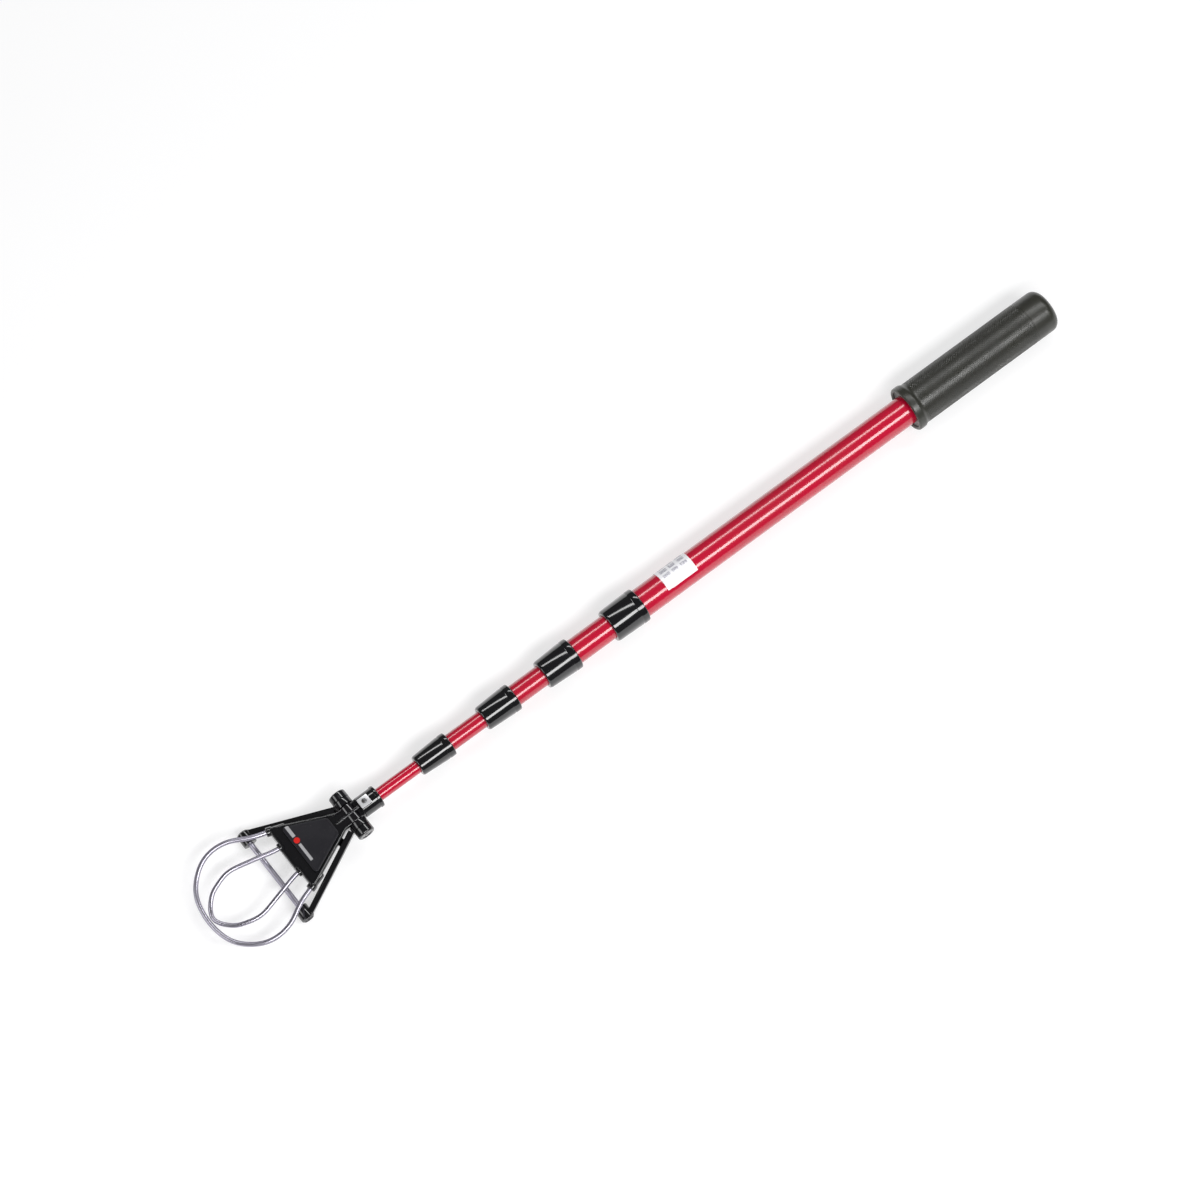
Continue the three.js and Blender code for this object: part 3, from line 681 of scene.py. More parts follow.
def build_fine_grain():
    """Fine moulding grain, as a height."""
    group, given, put = new_group("fine grain", [("Grain Scale", "NodeSocketFloat", 2400.0)],
                                  [("Height", "NodeSocketFloat")])
    place = object_place(group)
    link(group, noise(group, place, given.outputs["Grain Scale"], 3.0), put.inputs["Height"])


def build_draw_lines():
    """Faint lines along X, as left on drawn tube and wire."""
    group, given, put = new_group("draw lines", [("Line Scale", "NodeSocketFloat", 1.0)],
                                  [("Height", "NodeSocketFloat")])
    place = object_place(group)
    lines = noise(group, place, given.outputs["Line Scale"], 4.0, (9.0, 1700.0, 1700.0))
    link(group, lines, put.inputs["Height"])


def use_group(tree, name, **values):
    node = add_node(tree, "ShaderNodeGroup", node_tree=bpy.data.node_groups[name])
    for label, value in values.items():
        node.inputs[label.replace("_", " ").title()].default_value = value
    return node.outputs


def new_material(name, base, roughness, metallic=0.0, coat=0.0, specular=0.5):
    """A material with a Principled shader, its node tree and the shader."""
    material = bpy.data.materials.new(FINISH + name)
    material.use_nodes = True
    tree = material.node_tree
    shader = tree.nodes["Principled BSDF"]
    shader.inputs["Base Color"].default_value = (*base, 1)
    shader.inputs["Roughness"].default_value = roughness
    shader.inputs["Metallic"].default_value = metallic
    shader.inputs["Coat Weight"].default_value = coat
    shader.inputs["Coat Roughness"].default_value = 0.12
    shader.inputs["Specular IOR Level"].default_value = specular
    material.diffuse_color = (*base, 1)
    return tree, shader


def blend_colours(tree, factor, first, second):
    """Two colours blended by a factor. Each is a socket or a plain colour."""
    node = add_node(tree, "ShaderNodeMix", data_type="RGBA")
    link(tree, factor, node.inputs["Factor"])
    first_colour, second_colour, blended = node.inputs[6], node.inputs[7], node.outputs[2]
    for socket, value in ((first_colour, first), (second_colour, second)):
        if isinstance(value, bpy.types.NodeSocket):
            link(tree, value, socket)
        else:
            socket.default_value = (*value, 1)
    return blended


def dust_over(tree, shader, smudges, amount, base, dust):
    """Lays specks of dust over a base colour and gives the result to the shader."""
    dusty = math_node(tree, "MULTIPLY", smudges["Dust"], amount)
    link(tree, blend_colours(tree, dusty, base, dust), shader.inputs["Base Color"])


def set_roughness(tree, shader, value, low, high):
    node = add_node(tree, "ShaderNodeMapRange")
    link(tree, value, node.inputs["Value"])
    node.inputs["To Min"].default_value = low
    node.inputs["To Max"].default_value = high
    link(tree, node.outputs["Result"], shader.inputs["Roughness"])


def set_bump(tree, shader, height, strength, distance):
    node = add_node(tree, "ShaderNodeBump")
    node.inputs["Strength"].default_value = strength
    node.inputs["Distance"].default_value = distance
    link(tree, height, node.inputs["Height"])
    link(tree, node.outputs["Normal"], shader.inputs["Normal"])


def set_grain(tree, shader, scale, strength, distance):
    """Gives a shader the fine grain, as a bump of a strength and a depth in metres."""
    height = use_group(tree, "fine grain", grain_scale=scale)["Height"]
    set_bump(tree, shader, height, strength, distance)


def red_anodising(colours):
    tree, shader = new_material("red_tube", colours.red, 0.2, coat=0.9)
    smudges = use_group(tree, "smudges", patch_scale=22.0, dust_scale=1400.0)
    faint = math_node(tree, "MULTIPLY", smudges["Patches"], 0.45)
    tinted = blend_colours(tree, faint, colours.red, colours.deep_red)
    dust_over(tree, shader, smudges, 0.12, tinted, colours.red_dust)
    set_roughness(tree, shader, smudges["Patches"], 0.16, 0.24)
    lines = use_group(tree, "draw lines", line_scale=1.0)["Height"]
    set_bump(tree, shader, lines, 0.03, 0.00001)


def gloss_plastic(colours):
    tree, shader = new_material("black_plastic", colours.black, 0.2, coat=0.7, specular=0.6)
    smudges = use_group(tree, "smudges", patch_scale=60.0, dust_scale=1600.0)
    wear = use_group(tree, "edge wear", amount=0.8, patch_scale=260.0)["Mask"]
    worn = blend_colours(tree, wear, colours.black, colours.worn_black)
    dust_over(tree, shader, smudges, 0.1, worn, colours.dust)
    rough = math_node(tree, "ADD", math_node(tree, "MULTIPLY", smudges["Patches"], 0.5), wear)
    set_roughness(tree, shader, rough, 0.09, 0.2)
    set_grain(tree, shader, 3000.0, 0.04, 0.00001)


def satin_plastic(colours, name="charcoal_plastic", print_on=None):
    """Charcoal satin plastic, with what a function prints on it."""
    tree, shader = new_material(name, colours.charcoal, 0.4, specular=0.25)
    smudges = use_group(tree, "smudges", patch_scale=80.0, dust_scale=1500.0)
    wear = use_group(tree, "edge wear", amount=0.7, patch_scale=300.0)["Mask"]
    base = blend_colours(tree, wear, colours.charcoal, colours.worn_charcoal)
    if print_on:
        base = print_on(tree, base, colours)
    dust_over(tree, shader, smudges, 0.16, base, colours.dust)
    set_roughness(tree, shader, smudges["Patches"], 0.34, 0.46)
    set_grain(tree, shader, 3600.0, 0.35, 0.00012)


def box_mask(tree, place, low, high, soft=0.00015):
    """A mask that is 1 between two corners seen from above, with soft edges."""
    spot = add_node(tree, "ShaderNodeSeparateXYZ")
    link(tree, place, spot.inputs[0])
    mask = None
    for axis in (0, 1):
        for sign, edge in ((1, low[axis]), (-1, high[axis])):
            side = ramp(tree, math_node(tree, "MULTIPLY", spot.outputs[axis], sign),
                        sign * edge - soft, sign * edge + soft)
            mask = side if mask is None else math_node(tree, "MULTIPLY", mask, side)
    return mask


def cover_marks(tree, base, colours):
    """A plain bar in two lengths, a little rubbed, and a dot between them."""
    place = object_place(tree)
    mark = HINGE_X + settings().cover.front_mark
    lengths = [box_mask(tree, place, (mark - half, left), (mark + half, right))
               for half, left, right in ((0.0012, -0.0182, -0.0092), (0.0010, -0.0032, 0.0105))]
    rubbed = ramp(tree, noise(tree, place, 420.0, 4.0), 0.1, 0.32)
    inked = math_node(tree, "MULTIPLY", math_node(tree, "ADD", *lengths), rubbed)
    barred = blend_colours(tree, inked, base, colours.mark)
    flat = add_node(tree, "ShaderNodeVectorMath", operation="MULTIPLY")
    link(tree, place, flat.inputs[0])
    flat.inputs[1].default_value = (1, 1, 0)
    away = add_node(tree, "ShaderNodeVectorMath", operation="DISTANCE")
    link(tree, flat.outputs["Vector"], away.inputs[0])
    away.inputs[1].default_value = (mark, -0.0062, 0)
    outside = ramp(tree, away.outputs["Value"], 0.0019, 0.0022)
    dot = math_node(tree, "SUBTRACT", 1.0, outside)
    return blend_colours(tree, dot, barred, colours.mark_red)


def printed_panel(colours):
    satin_plastic(colours, "printed_cover", cover_marks)


def grip_rubber(colours):
    tree, shader = new_material("grip_rubber", colours.rubber, 0.32, specular=0.6)
    smudges = use_group(tree, "smudges", patch_scale=55.0, dust_scale=1300.0)
    # Painted shade: faces in hollows, such as the pressed dimples, are found by their low pointiness and
    # get the dark rubber colour, standing in for the shade that falls in them
    point = add_node(tree, "ShaderNodeNewGeometry").outputs["Pointiness"]
    hollow = math_node(tree, "SUBTRACT", 1.0, ramp(tree, point, 0.4, 0.5))
    base = blend_colours(tree, hollow, colours.rubber, colours.dark_rubber_and_dimple_shade)
    handled = math_node(tree, "MULTIPLY", smudges["Patches"], 0.35)
    patchy = blend_colours(tree, handled, base, colours.dark_rubber_and_dimple_shade)
    dust_over(tree, shader, smudges, 0.25, patchy, colours.rubber_dust)
    set_roughness(tree, shader, smudges["Patches"], 0.27, 0.36)
    set_grain(tree, shader, 2600.0, 0.3, 0.00012)


def polished_wire(colours):
    tree, shader = new_material("bright_steel", colours.wire, 0.3, metallic=1.0)
    shader.inputs["Specular Tint"].default_value = (*colours.wire_edge, 1)
    smudges = use_group(tree, "smudges", patch_scale=40.0, dust_scale=1500.0)
    wear = math_node(tree, "MULTIPLY", smudges["Patches"], 0.6)
    link(tree, blend_colours(tree, wear, colours.wire, colours.dull_wire), shader.inputs["Base Color"])
    set_roughness(tree, shader, smudges["Patches"], 0.26, 0.4)
    set_grain(tree, shader, 500.0, 0.06, 0.00004)


def spring_wire(colours):
    tree, shader = new_material("spring_steel", colours.spring, 0.34, metallic=1.0)
    smudges = use_group(tree, "smudges", patch_scale=160.0, dust_scale=1500.0)
    link(tree, blend_colours(tree, smudges["Patches"], colours.spring, colours.dull_spring),
         shader.inputs["Base Color"])
    set_roughness(tree, shader, smudges["Patches"], 0.28, 0.46)
    set_grain(tree, shader, 2600.0, 0.2, 0.00006)


def white_clip(colours):
    tree, shader = new_material("clip_steel", colours.clip_base, 0.3, metallic=0.45)
    smudges = use_group(tree, "smudges", patch_scale=120.0, dust_scale=1500.0)
    wear = use_group(tree, "edge wear", amount=0.6, patch_scale=300.0)["Mask"]
    link(tree, blend_colours(tree, wear, colours.clip, colours.worn_clip),
         shader.inputs["Base Color"])
    set_roughness(tree, shader, smudges["Patches"], 0.16, 0.3)
    set_grain(tree, shader, 1800.0, 0.15, 0.00005)


def nylon(colours):
    tree, shader = new_material("pale_nylon", colours.nylon, 0.42)
    smudges = use_group(tree, "smudges", patch_scale=140.0, dust_scale=1200.0)
    rubbed = math_node(tree, "MULTIPLY", smudges["Patches"], 0.3)
    link(tree, blend_colours(tree, rubbed, colours.nylon, colours.rubbed_nylon),
         shader.inputs["Base Color"])
    set_roughness(tree, shader, smudges["Patches"], 0.36, 0.5)
    set_grain(tree, shader, 2200.0, 0.2, 0.00006)


def unrolled(tree, radius):
    """The place on a film round the pole, laid flat: X along the pole, Y round it."""
    spot = add_node(tree, "ShaderNodeSeparateXYZ")
    link(tree, object_place(tree), spot.inputs[0])
    x, y, z = spot.outputs
    angle = math_node(tree, "ARCTAN2", y, math_node(tree, "SUBTRACT", z, AXIS_Z))
    flat = add_node(tree, "ShaderNodeCombineXYZ")
    link(tree, x, flat.inputs[0])
    link(tree, math_node(tree, "MULTIPLY", angle, radius), flat.inputs[1])
    return flat.outputs[0]


def printed_film(colours):
    """White film with plain grey blocks, and nothing that can be read."""
    tree, shader = new_material("sticker_paper", colours.film, 0.3, coat=0.3)
    low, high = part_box("tube_sticker")
    middle = (low[0] + high[0]) / 2
    sheet = unrolled(tree, 0.0107)
    mask = None
    for column, width in ((-0.0072, 0.0026), (0.0, 0.0024), (0.0070, 0.0028)):
        for row, depth in ((-0.0122, 0.0021), (-0.0072, 0.0017), (-0.0026, 0.0013)):
            patch = box_mask(tree, sheet, (middle + column - width, row - depth),
                             (middle + column + width, row + depth), 0.0004)
            mask = patch if mask is None else math_node(tree, "MAXIMUM", mask, patch)
    broken = ramp(tree, noise(tree, sheet, 900.0, 3.0), 0.38, 0.6)
    cover = math_node(tree, "ADD", 0.35, math_node(tree, "MULTIPLY", broken, 0.5))
    ink = math_node(tree, "MULTIPLY", mask, cover)
    smudges = use_group(tree, "smudges", patch_scale=120.0, dust_scale=1500.0)
    printed = blend_colours(tree, ink, colours.film, colours.print_grey)
    dust_over(tree, shader, smudges, 0.1, printed, colours.film_dust)
    set_roughness(tree, shader, smudges["Patches"], 0.24, 0.36)
    set_grain(tree, shader, 3000.0, 0.1, 0.00003)


def pale_sweep(stage):
    tree, shader = new_material("pale_sweep", stage.floor_colour, 0.7, specular=0.2)
    mottled = ramp(tree, noise(tree, object_place(tree), 3.0, 2.0), 0.2, 0.8)
    paler = tuple(min(1.0, part * 1.02) for part in stage.floor_colour)
    shader.inputs["Emission Color"].default_value = (1, 1, 1, 1)
    shader.inputs["Emission Strength"].default_value = 0.56
    link(tree, blend_colours(tree, mottled, stage.floor_colour, paler),
         shader.inputs["Base Color"])


# Operators


class RETRIEVER_OT_finishes(bpy.types.Operator):
    """Makes the materials and gives them to the parts that stay as they are"""

    bl_idname = "retriever.finishes"
    bl_label = "Finishes"

    def execute(self, context):
        for build in (build_edge_wear, build_smudges, build_fine_grain, build_draw_lines):
            build()
        colours = settings().colours
        for build in (red_anodising, gloss_plastic, satin_plastic, printed_panel, grip_rubber,
                      polished_wire, spring_wire, white_clip, nylon, printed_film):
            build(colours)
        for subpart in frame["record"]["subparts"]:
            node = frame["nodes"][subpart["node"]]
            node.data.materials.clear()
            node.data.materials.append(bpy.data.materials[FINISH + subpart["material_slot"]])
        return {"FINISHED"}


class RETRIEVER_OT_stage(bpy.types.Operator):
    """Makes the floor, the soft lights and the camera"""

    bl_idname = "retriever.stage"
    bl_label = "Stage"

    def execute(self, context):
        stage = settings().stage
        pale_sweep(stage)
        deselect()
        bpy.ops.mesh.primitive_plane_add(size=9, location=(0, 0, 0))
        floor = context.object
        floor.name = "floor"
        floor.data.materials.append(bpy.data.materials[FINISH + "pale_sweep"])
        world = bpy.data.worlds.new("studio")
        world.use_nodes = True
        back = world.node_tree.nodes["Background"]
        back.inputs["Color"].default_value = (1.0, 1.0, 1.0, 1)
        back.inputs["Strength"].default_value = stage.sky
        context.scene.world = world
        context.scene.view_settings.view_transform = "Standard"
        self.softbox("key_softbox", (0.0, 0.85, 1.15), (1.8, 0.42), stage.key_power)
        self.softbox("fill_softbox", (-0.55, -0.52, 1.22), (1.9, 0.2), stage.fill_power)
        self.softbox("head_softbox", (1.35, -0.35, 0.95), (1.0, 0.5), stage.head_power)
        self.camera(context, stage)
        return {"FINISHED"}

    def softbox(self, name, place, size, power):
        light = bpy.data.lights.new(name, "AREA")
        light.shape = "RECTANGLE"
        light.size, light.size_y = size
        light.energy = power
        lamp = bpy.data.objects.new(name, light)
        lamp.location = place
        aim = Vector((0, 0, 0.02)) - Vector(place)
        lamp.rotation_euler = aim.to_track_quat("-Z", "Y").to_euler()
        bpy.context.scene.collection.objects.link(lamp)

    def camera(self, context, stage):
        level = math.cos(stage.elevation)
        way = Vector((level * math.sin(stage.azimuth), -level * math.cos(stage.azimuth),
                      math.sin(stage.elevation)))
        data = bpy.data.cameras.new("camera")
        data.lens = stage.lens
        data.sensor_width = 36
        data.shift_x, data.shift_y = stage.shift_x, stage.shift_y
        camera = bpy.data.objects.new("camera", data)
        camera.location = Vector((stage.target, 0, 0)) + way * stage.distance
        camera.rotation_euler = (-way).to_track_quat("-Z", "Y").to_euler()
        context.scene.collection.objects.link(camera)
        context.scene.camera = camera


class RETRIEVER_OT_tubes(bpy.types.Operator):
    """Makes the five anodised tubes"""

    bl_idname = "retriever.tubes"
    bl_label = "Tubes"

    def execute(self, context):
        pole = settings().pole
        edge = pole.tube_edge
        for k in range(TUBE_COUNT):
            node = f"tube_{k + 1}"
            (start, _, _), (end, _, _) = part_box(node)
            outer = half_width(node)
            bore = outer - pole.tube_wall
            stations = [(start, bore + edge), (start, outer - edge), (start + edge, outer),
                        (end - edge, outer), (end, outer - edge), (end, bore + edge),
                        (end - edge, bore), (start + edge, bore), (start, bore + edge)]
            tube = turned(stations, centre=(0, 0, AXIS_Z), closed=True)
            finish_piece(tube, f"anodised_tube_{k + 1}", BODIES[k], "red_tube", [node])
        return {"FINISHED"}


class RETRIEVER_OT_collars(bpy.types.Operator):
    """Makes the four tapered collars"""

    bl_idname = "retriever.collars"
    bl_label = "Collars"

    def execute(self, context):
        for k in range(COLLAR_COUNT):
            self.collar(settings().pole, k)
        return {"FINISHED"}

    def collar(self, pole, k):
        node = f"collar_{k + 1}"
        low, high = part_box(node)
        own = half_width(f"tube_{k + 1}")
        rear, front, seat = half_width(node), own + pole.front_wall, own + pole.seat_gap
        mouth = half_width(f"tube_{k + 2}") + pole.mouth_gap
        ledge = high[0] - pole.ledge
        groove = low[0] + pole.groove_place
        floor, slope = rear - pole.groove_depth, pole.groove_slope
        floor_end = groove + slope + pole.groove_floor
        stations = [(low[0], seat)]
        stations += rear_edge(low[0], rear, pole.heel_round)
        stations += [(groove, rear), (groove + slope, floor), (floor_end, floor),
                     (floor_end + slope, rear - pole.groove_step)]
        stations += rounded(high[0] - pole.nose_length, front - pole.nose_depth,
                            pole.nose_length, pole.nose_depth, 90, 0, 8)
        stations += [(high[0], mouth + pole.mouth_edge), (high[0] - pole.mouth_edge, mouth),
                     (ledge, mouth), (ledge, seat), (low[0], seat)]
        collar = turned(stations, centre=(0, 0, AXIS_Z), closed=True)
        finish_piece(collar, f"tapered_collar_{k + 1}", BODIES[k], "black_plastic", [node])


class RETRIEVER_OT_sticker(bpy.types.Operator):
    """Makes the printed film on the handle tube"""

    bl_idname = "retriever.sticker"
    bl_label = "Sticker"

    def execute(self, context):
        low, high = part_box("tube_sticker")
        gap, sides, rings = 0.00012, 240, 14
        start, end = math.radians(-105), math.radians(39)
        deselect()
        bpy.ops.mesh.primitive_circle_add(vertices=sides, radius=half_width("tube_1") + gap,
                                          location=(low[0], 0, AXIS_Z), rotation=(0, math.pi / 2, 0))
        film = context.object
        edit(film)
        bpy.ops.mesh.select_all(action="SELECT")
        step = (high[0] - low[0]) / rings
        for _ in range(rings):
            bpy.ops.mesh.extrude_region_move(TRANSFORM_OT_translate={"value": (step, 0, 0)})
        pick(film, lambda m, w: not start <= math.atan2(m.y, m.z - AXIS_Z) <= end)
        bpy.ops.mesh.delete(type="VERT")
        bpy.ops.mesh.select_all(action="SELECT")
        bpy.ops.mesh.normals_make_consistent(inside=False)
        apply_place(film)
        first = film.data.polygons[0]
        if first.normal.dot(first.center - Vector((first.center.x, 0, AXIS_Z))) < 0:
            film.data.flip_normals()
        modify(film, "SOLIDIFY", thickness=settings().pole.sticker_thickness, offset=1)
        finish_piece(film, "printed_film", "handle", "sticker_paper", ["tube_sticker"])
        return {"FINISHED"}


class RETRIEVER_OT_grip(bpy.types.Operator):
    """Makes the moulded rubber grip"""

    bl_idname = "retriever.grip"
    bl_label = "Grip"

    def execute(self, context):
        sizes = settings().grip
        low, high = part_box("grip")
        lip = (high[1] - low[1]) / 2
        body = lip - sizes.flare
        flare_start = high[0] - sizes.lip_length - sizes.flare_lead
        groove = low[0] + sizes.groove_place
        slope, hollow = sizes.groove_slope, body - sizes.groove_slope
        field = groove + 2 * slope + sizes.groove_floor
        run = flare_start - field
        rings = 2 * int(run / sizes.dimple_pitch / 2)
        step = run / rings
        stations = self.end_face(sizes, low[0], body)
        stations += [(groove, body), (groove + slope, hollow), (field - slope, hollow), (field, body)]
        stations += [(field + step * s, body) for s in range(1, rings + 1)]
        for s in range(1, sizes.flare_steps + 1):
            share = s / sizes.flare_steps
            stations.append((flare_start + sizes.flare_run * share,
                             body + sizes.flare * (1 - math.cos(math.pi * share)) / 2))
        stations += self.front_face(sizes, low[0], high[0], lip)
        grip = turned(stations, centre=(0, 0, AXIS_Z), sides=sizes.dimple_sides)
        self.press_dimples(sizes, grip, field, step, rings)
        finish_piece(grip, "rubber_grip", "handle", "grip_rubber", ["grip"])
        return {"FINISHED"}

    def end_face(self, sizes, low, body):
        """Stations of the far end: a shallow ring in its middle and a rounded edge."""
        floor = low + sizes.ring_depth
        stations = [(low, sizes.core), (low, sizes.ring_inner),
                    (floor, sizes.ring_inner + sizes.ring_slope),
                    (floor, sizes.ring_outer - sizes.ring_slope), (low, sizes.ring_outer)]
        return stations + rear_edge(low, body, sizes.end_round, 8)

    def front_face(self, sizes, low, high, lip):
        """Stations of the lip's round rim, the recess in the front face and the tube's hole."""
        half, inner = sizes.rim / 2, lip - sizes.rim
        recess, floor = high - sizes.recess, low + sizes.end_wall
        stations = front_edge(high, lip, half, 8)
        stations += rounded(high - half, inner + half, half, half, 0, -90)
        return stations + [(recess, inner - sizes.recess_slope), (recess, sizes.bore),
                           (floor, sizes.bore), (floor, sizes.core)]

    def press_dimples(self, sizes, grip, field, step, rings):
        """Presses in every other square of the field, as on a chessboard."""
        turn = 2 * math.pi / sizes.dimple_sides
        nudge = 1e-4

        def dimpled(middle, way):
            column = math.floor((middle.x - field) / step)
            row = math.floor(math.atan2(middle.y, middle.z - AXIS_Z) / turn + nudge)
            outside = way.dot(middle - Vector((middle.x, 0, AXIS_Z))) > 0.01
            upright = abs(way.x) < 0.1
            return 1 <= column < rings - 1 and upright and outside and (column + row) % 2 == 0

        edit(grip)
        pick(grip, dimpled, "FACE")
        bpy.ops.mesh.inset(thickness=sizes.dimple_edge, use_individual=True)
        bpy.ops.transform.shrink_fatten(value=-sizes.dimple_depth)
        deselect()


class RETRIEVER_OT_head(bpy.types.Operator):
    """Makes the head moulding: socket, neck, hinge barrel and wire plate"""

    bl_idname = "retriever.head"
    bl_label = "Head moulding"

    def execute(self, context):
        head = settings().head
        parts = [self.plate(head), self.socket(head), self.barrel(head), self.rib(head),
                 self.pad(head)]
        parts += self.wire_bosses(head)
        moulding = joined(parts)
        finish_piece(moulding, "head_moulding", "section_5", "black_plastic", ["head_body"])
        return {"FINISHED"}

    def plate(self, head):
        front, wide = head.plate_front, head.plate_half_width
        neck, narrow = head.neck_end, head.neck_half_width
        nose, lip = head.nose_half_width, head.nose_length
        half = [(-head.shoulder - head.plate_overlap, narrow), (neck, narrow),
                (front, wide), (front, nose + lip), (front + lip, nose)]
        outline = [at(x, y, 0)[:2] for x, y in half]
        outline += [at(x, -y, 0)[:2] for x, y in reversed(half)]
        corners = [0, 0, head.plate_corner, 0, 0]
        outline = softened(outline, corners + corners[::-1])
        depth = head.plate_half_depth
        bottom, top = AXIS_Z - depth, AXIS_Z + depth
        plate = panel(outline, bottom, top, head.plate_edge, 4)
        pressed(plate, top, 1, head.top_margin, head.top_slope, head.top_depth)
        pressed(plate, bottom, -1, head.under_margin, head.under_slope, head.under_depth)
        return plate

    def socket(self, head):
        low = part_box("head_body")[0][0]
        shoulder = HINGE_X - head.shoulder
        floor = shoulder - head.socket_floor
        bore, core, lead = head.socket_bore, head.socket_core, head.mouth_lead
        bead, wall = head.bead_radius, head.socket_radius
        front = low + head.bead_length
        stations = [(low + lead, bore), (low, bore + head.mouth_rise), (low, bead - head.bead_face)]
        stations += rear_edge(low, bead, head.bead_rear, 5)[1:]
        stations += front_edge(front, bead, head.bead_front, 4)
        stations += [(front + head.bead_foot, wall)]
        stations += front_edge(shoulder, wall, head.shoulder_round, 5)
        stations += [(shoulder, core), (floor, core), (floor, bore), (low + lead, bore)]
        return turned(stations, centre=(0, 0, AXIS_Z), closed=True, sides=72)

    def barrel(self, head):
        wide, radius, edge = head.neck_half_width, head.barrel_radius, head.barrel_edge
        stations = [(-wide, head.barrel_core)]
        stations += rear_edge(-wide, radius, edge, 4)
        stations += front_edge(wide, radius, edge, 4)
        stations += [(wide, head.barrel_core)]
        return turned(stations, "Y", (HINGE_X, 0, AXIS_Z), sides=64)

    def rib(self, head):
        """The rib along the neck, which runs down to the plate at its front."""
        half = head.rib_half_width
        rib = block(at(-head.rib_rear, -half, head.rib_foot), at(head.rib_front, half, head.rib_top),
                    head.rib_edge, 3)
        slope_start, foot = HINGE_X + 0.003, AXIS_Z + 0.0025
        edit(rib)
        pick(rib, lambda m, w: m.x > slope_start and m.z > foot)
        bpy.ops.transform.translate(value=(0, 0, -head.rib_drop))
        deselect()
        return rib

    def pad(self, head):
        low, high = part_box("socket_clip")
        return block((low[0], low[1], AXIS_Z + head.pad_foot),
                     (high[0], high[1], AXIS_Z + head.bead_radius), head.pad_edge, 2)

    def wire_bosses(self, head):
        bosses = []
        nose = HINGE_X + head.plate_front + head.nose_length
        radius, slim = head.wire_boss, head.wire_boss - head.boss_swell
        for side, _ in SIDES:
            for root, mouth, reach in ((head.outer_root, head.outer_mouth, head.outer_seat),
                                       (head.inner_root, head.inner_mouth, head.inner_seat)):
                rear = nose - reach
                stations = [(rear, head.boss_core)]
                stations += rear_edge(rear, slim, head.boss_rear, 5)
                stations += [(nose - head.swell_rear, slim), (nose - head.swell_front, radius)]
                stations += front_edge(nose, radius, head.boss_front, 4)
                stations += [(nose, mouth)]
                boss = turned(stations, centre=(0, side * root, AXIS_Z), sides=40)
                if root == head.outer_root:
                    only(boss)
                    bpy.ops.transform.rotate(value=-side * head.outer_turn, orient_axis="Z",
                                             center_override=(nose, side * root, AXIS_Z))
                bosses.append(boss)
        return bosses


class RETRIEVER_OT_cover(bpy.types.Operator):
    """Makes the cover panel and the clip and rivet on the socket"""

    bl_idname = "retriever.cover"
    bl_label = "Cover and clip"

    def execute(self, context):
        sizes = settings().cover
        self.cover(sizes, settings().head)
        self.clip(sizes)
        self.rivet(sizes)
        return {"FINISHED"}

    def cover(self, sizes, head):
        low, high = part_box("head_cover")
        slope = (head.plate_half_width - head.neck_half_width) / (head.plate_front - head.neck_end)
        wide = high[1]
        narrow = wide - slope * (high[0] - low[0])
        outline = [(low[0], narrow), (high[0], wide), (high[0], -wide), (low[0], -narrow)]
        corners = [sizes.right_rear, sizes.corner, sizes.corner, sizes.left_rear]
        cover = panel(softened(outline, corners), low[2], high[2], sizes.edge, 3)
        pressed(cover, high[2], 1, sizes.margin, sizes.slope, sizes.depth)
        finish_piece(cover, "cover_panel", "section_5", "charcoal_plastic", ["head_cover"],
                     material="printed_cover")

    def clip(self, sizes):
        clip = block(*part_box("socket_clip"), sizes.clip_edge, 3)
        edit(clip)
        bpy.ops.mesh.select_all(action="SELECT")
        bpy.ops.mesh.subdivide(number_cuts=2)
        deselect()
        finish_piece(clip, "bright_clip", "section_5", "bright_steel", ["socket_clip"],
                     material="clip_steel")

    def rivet(self, sizes):
        low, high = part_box("socket_rivet")
        centre = ((low[0] + high[0]) / 2, 0, 0)
        radius = (high[0] - low[0]) / 2
        rim, dome, shank = sizes.rivet_rim, sizes.rivet_dome, sizes.rivet_shank
        seat = high[2] - rim - dome
        stations = [(low[2], sizes.rivet_core), (low[2], shank), (seat, shank),
                    (seat, radius - rim)]
        stations += rounded(seat + rim, rim, dome, radius - rim, 90, 0)
        rivet = turned(stations, "Z", centre, sides=40)
        finish_piece(rivet, "clip_rivet", "section_5", "spring_steel", ["socket_rivet"])


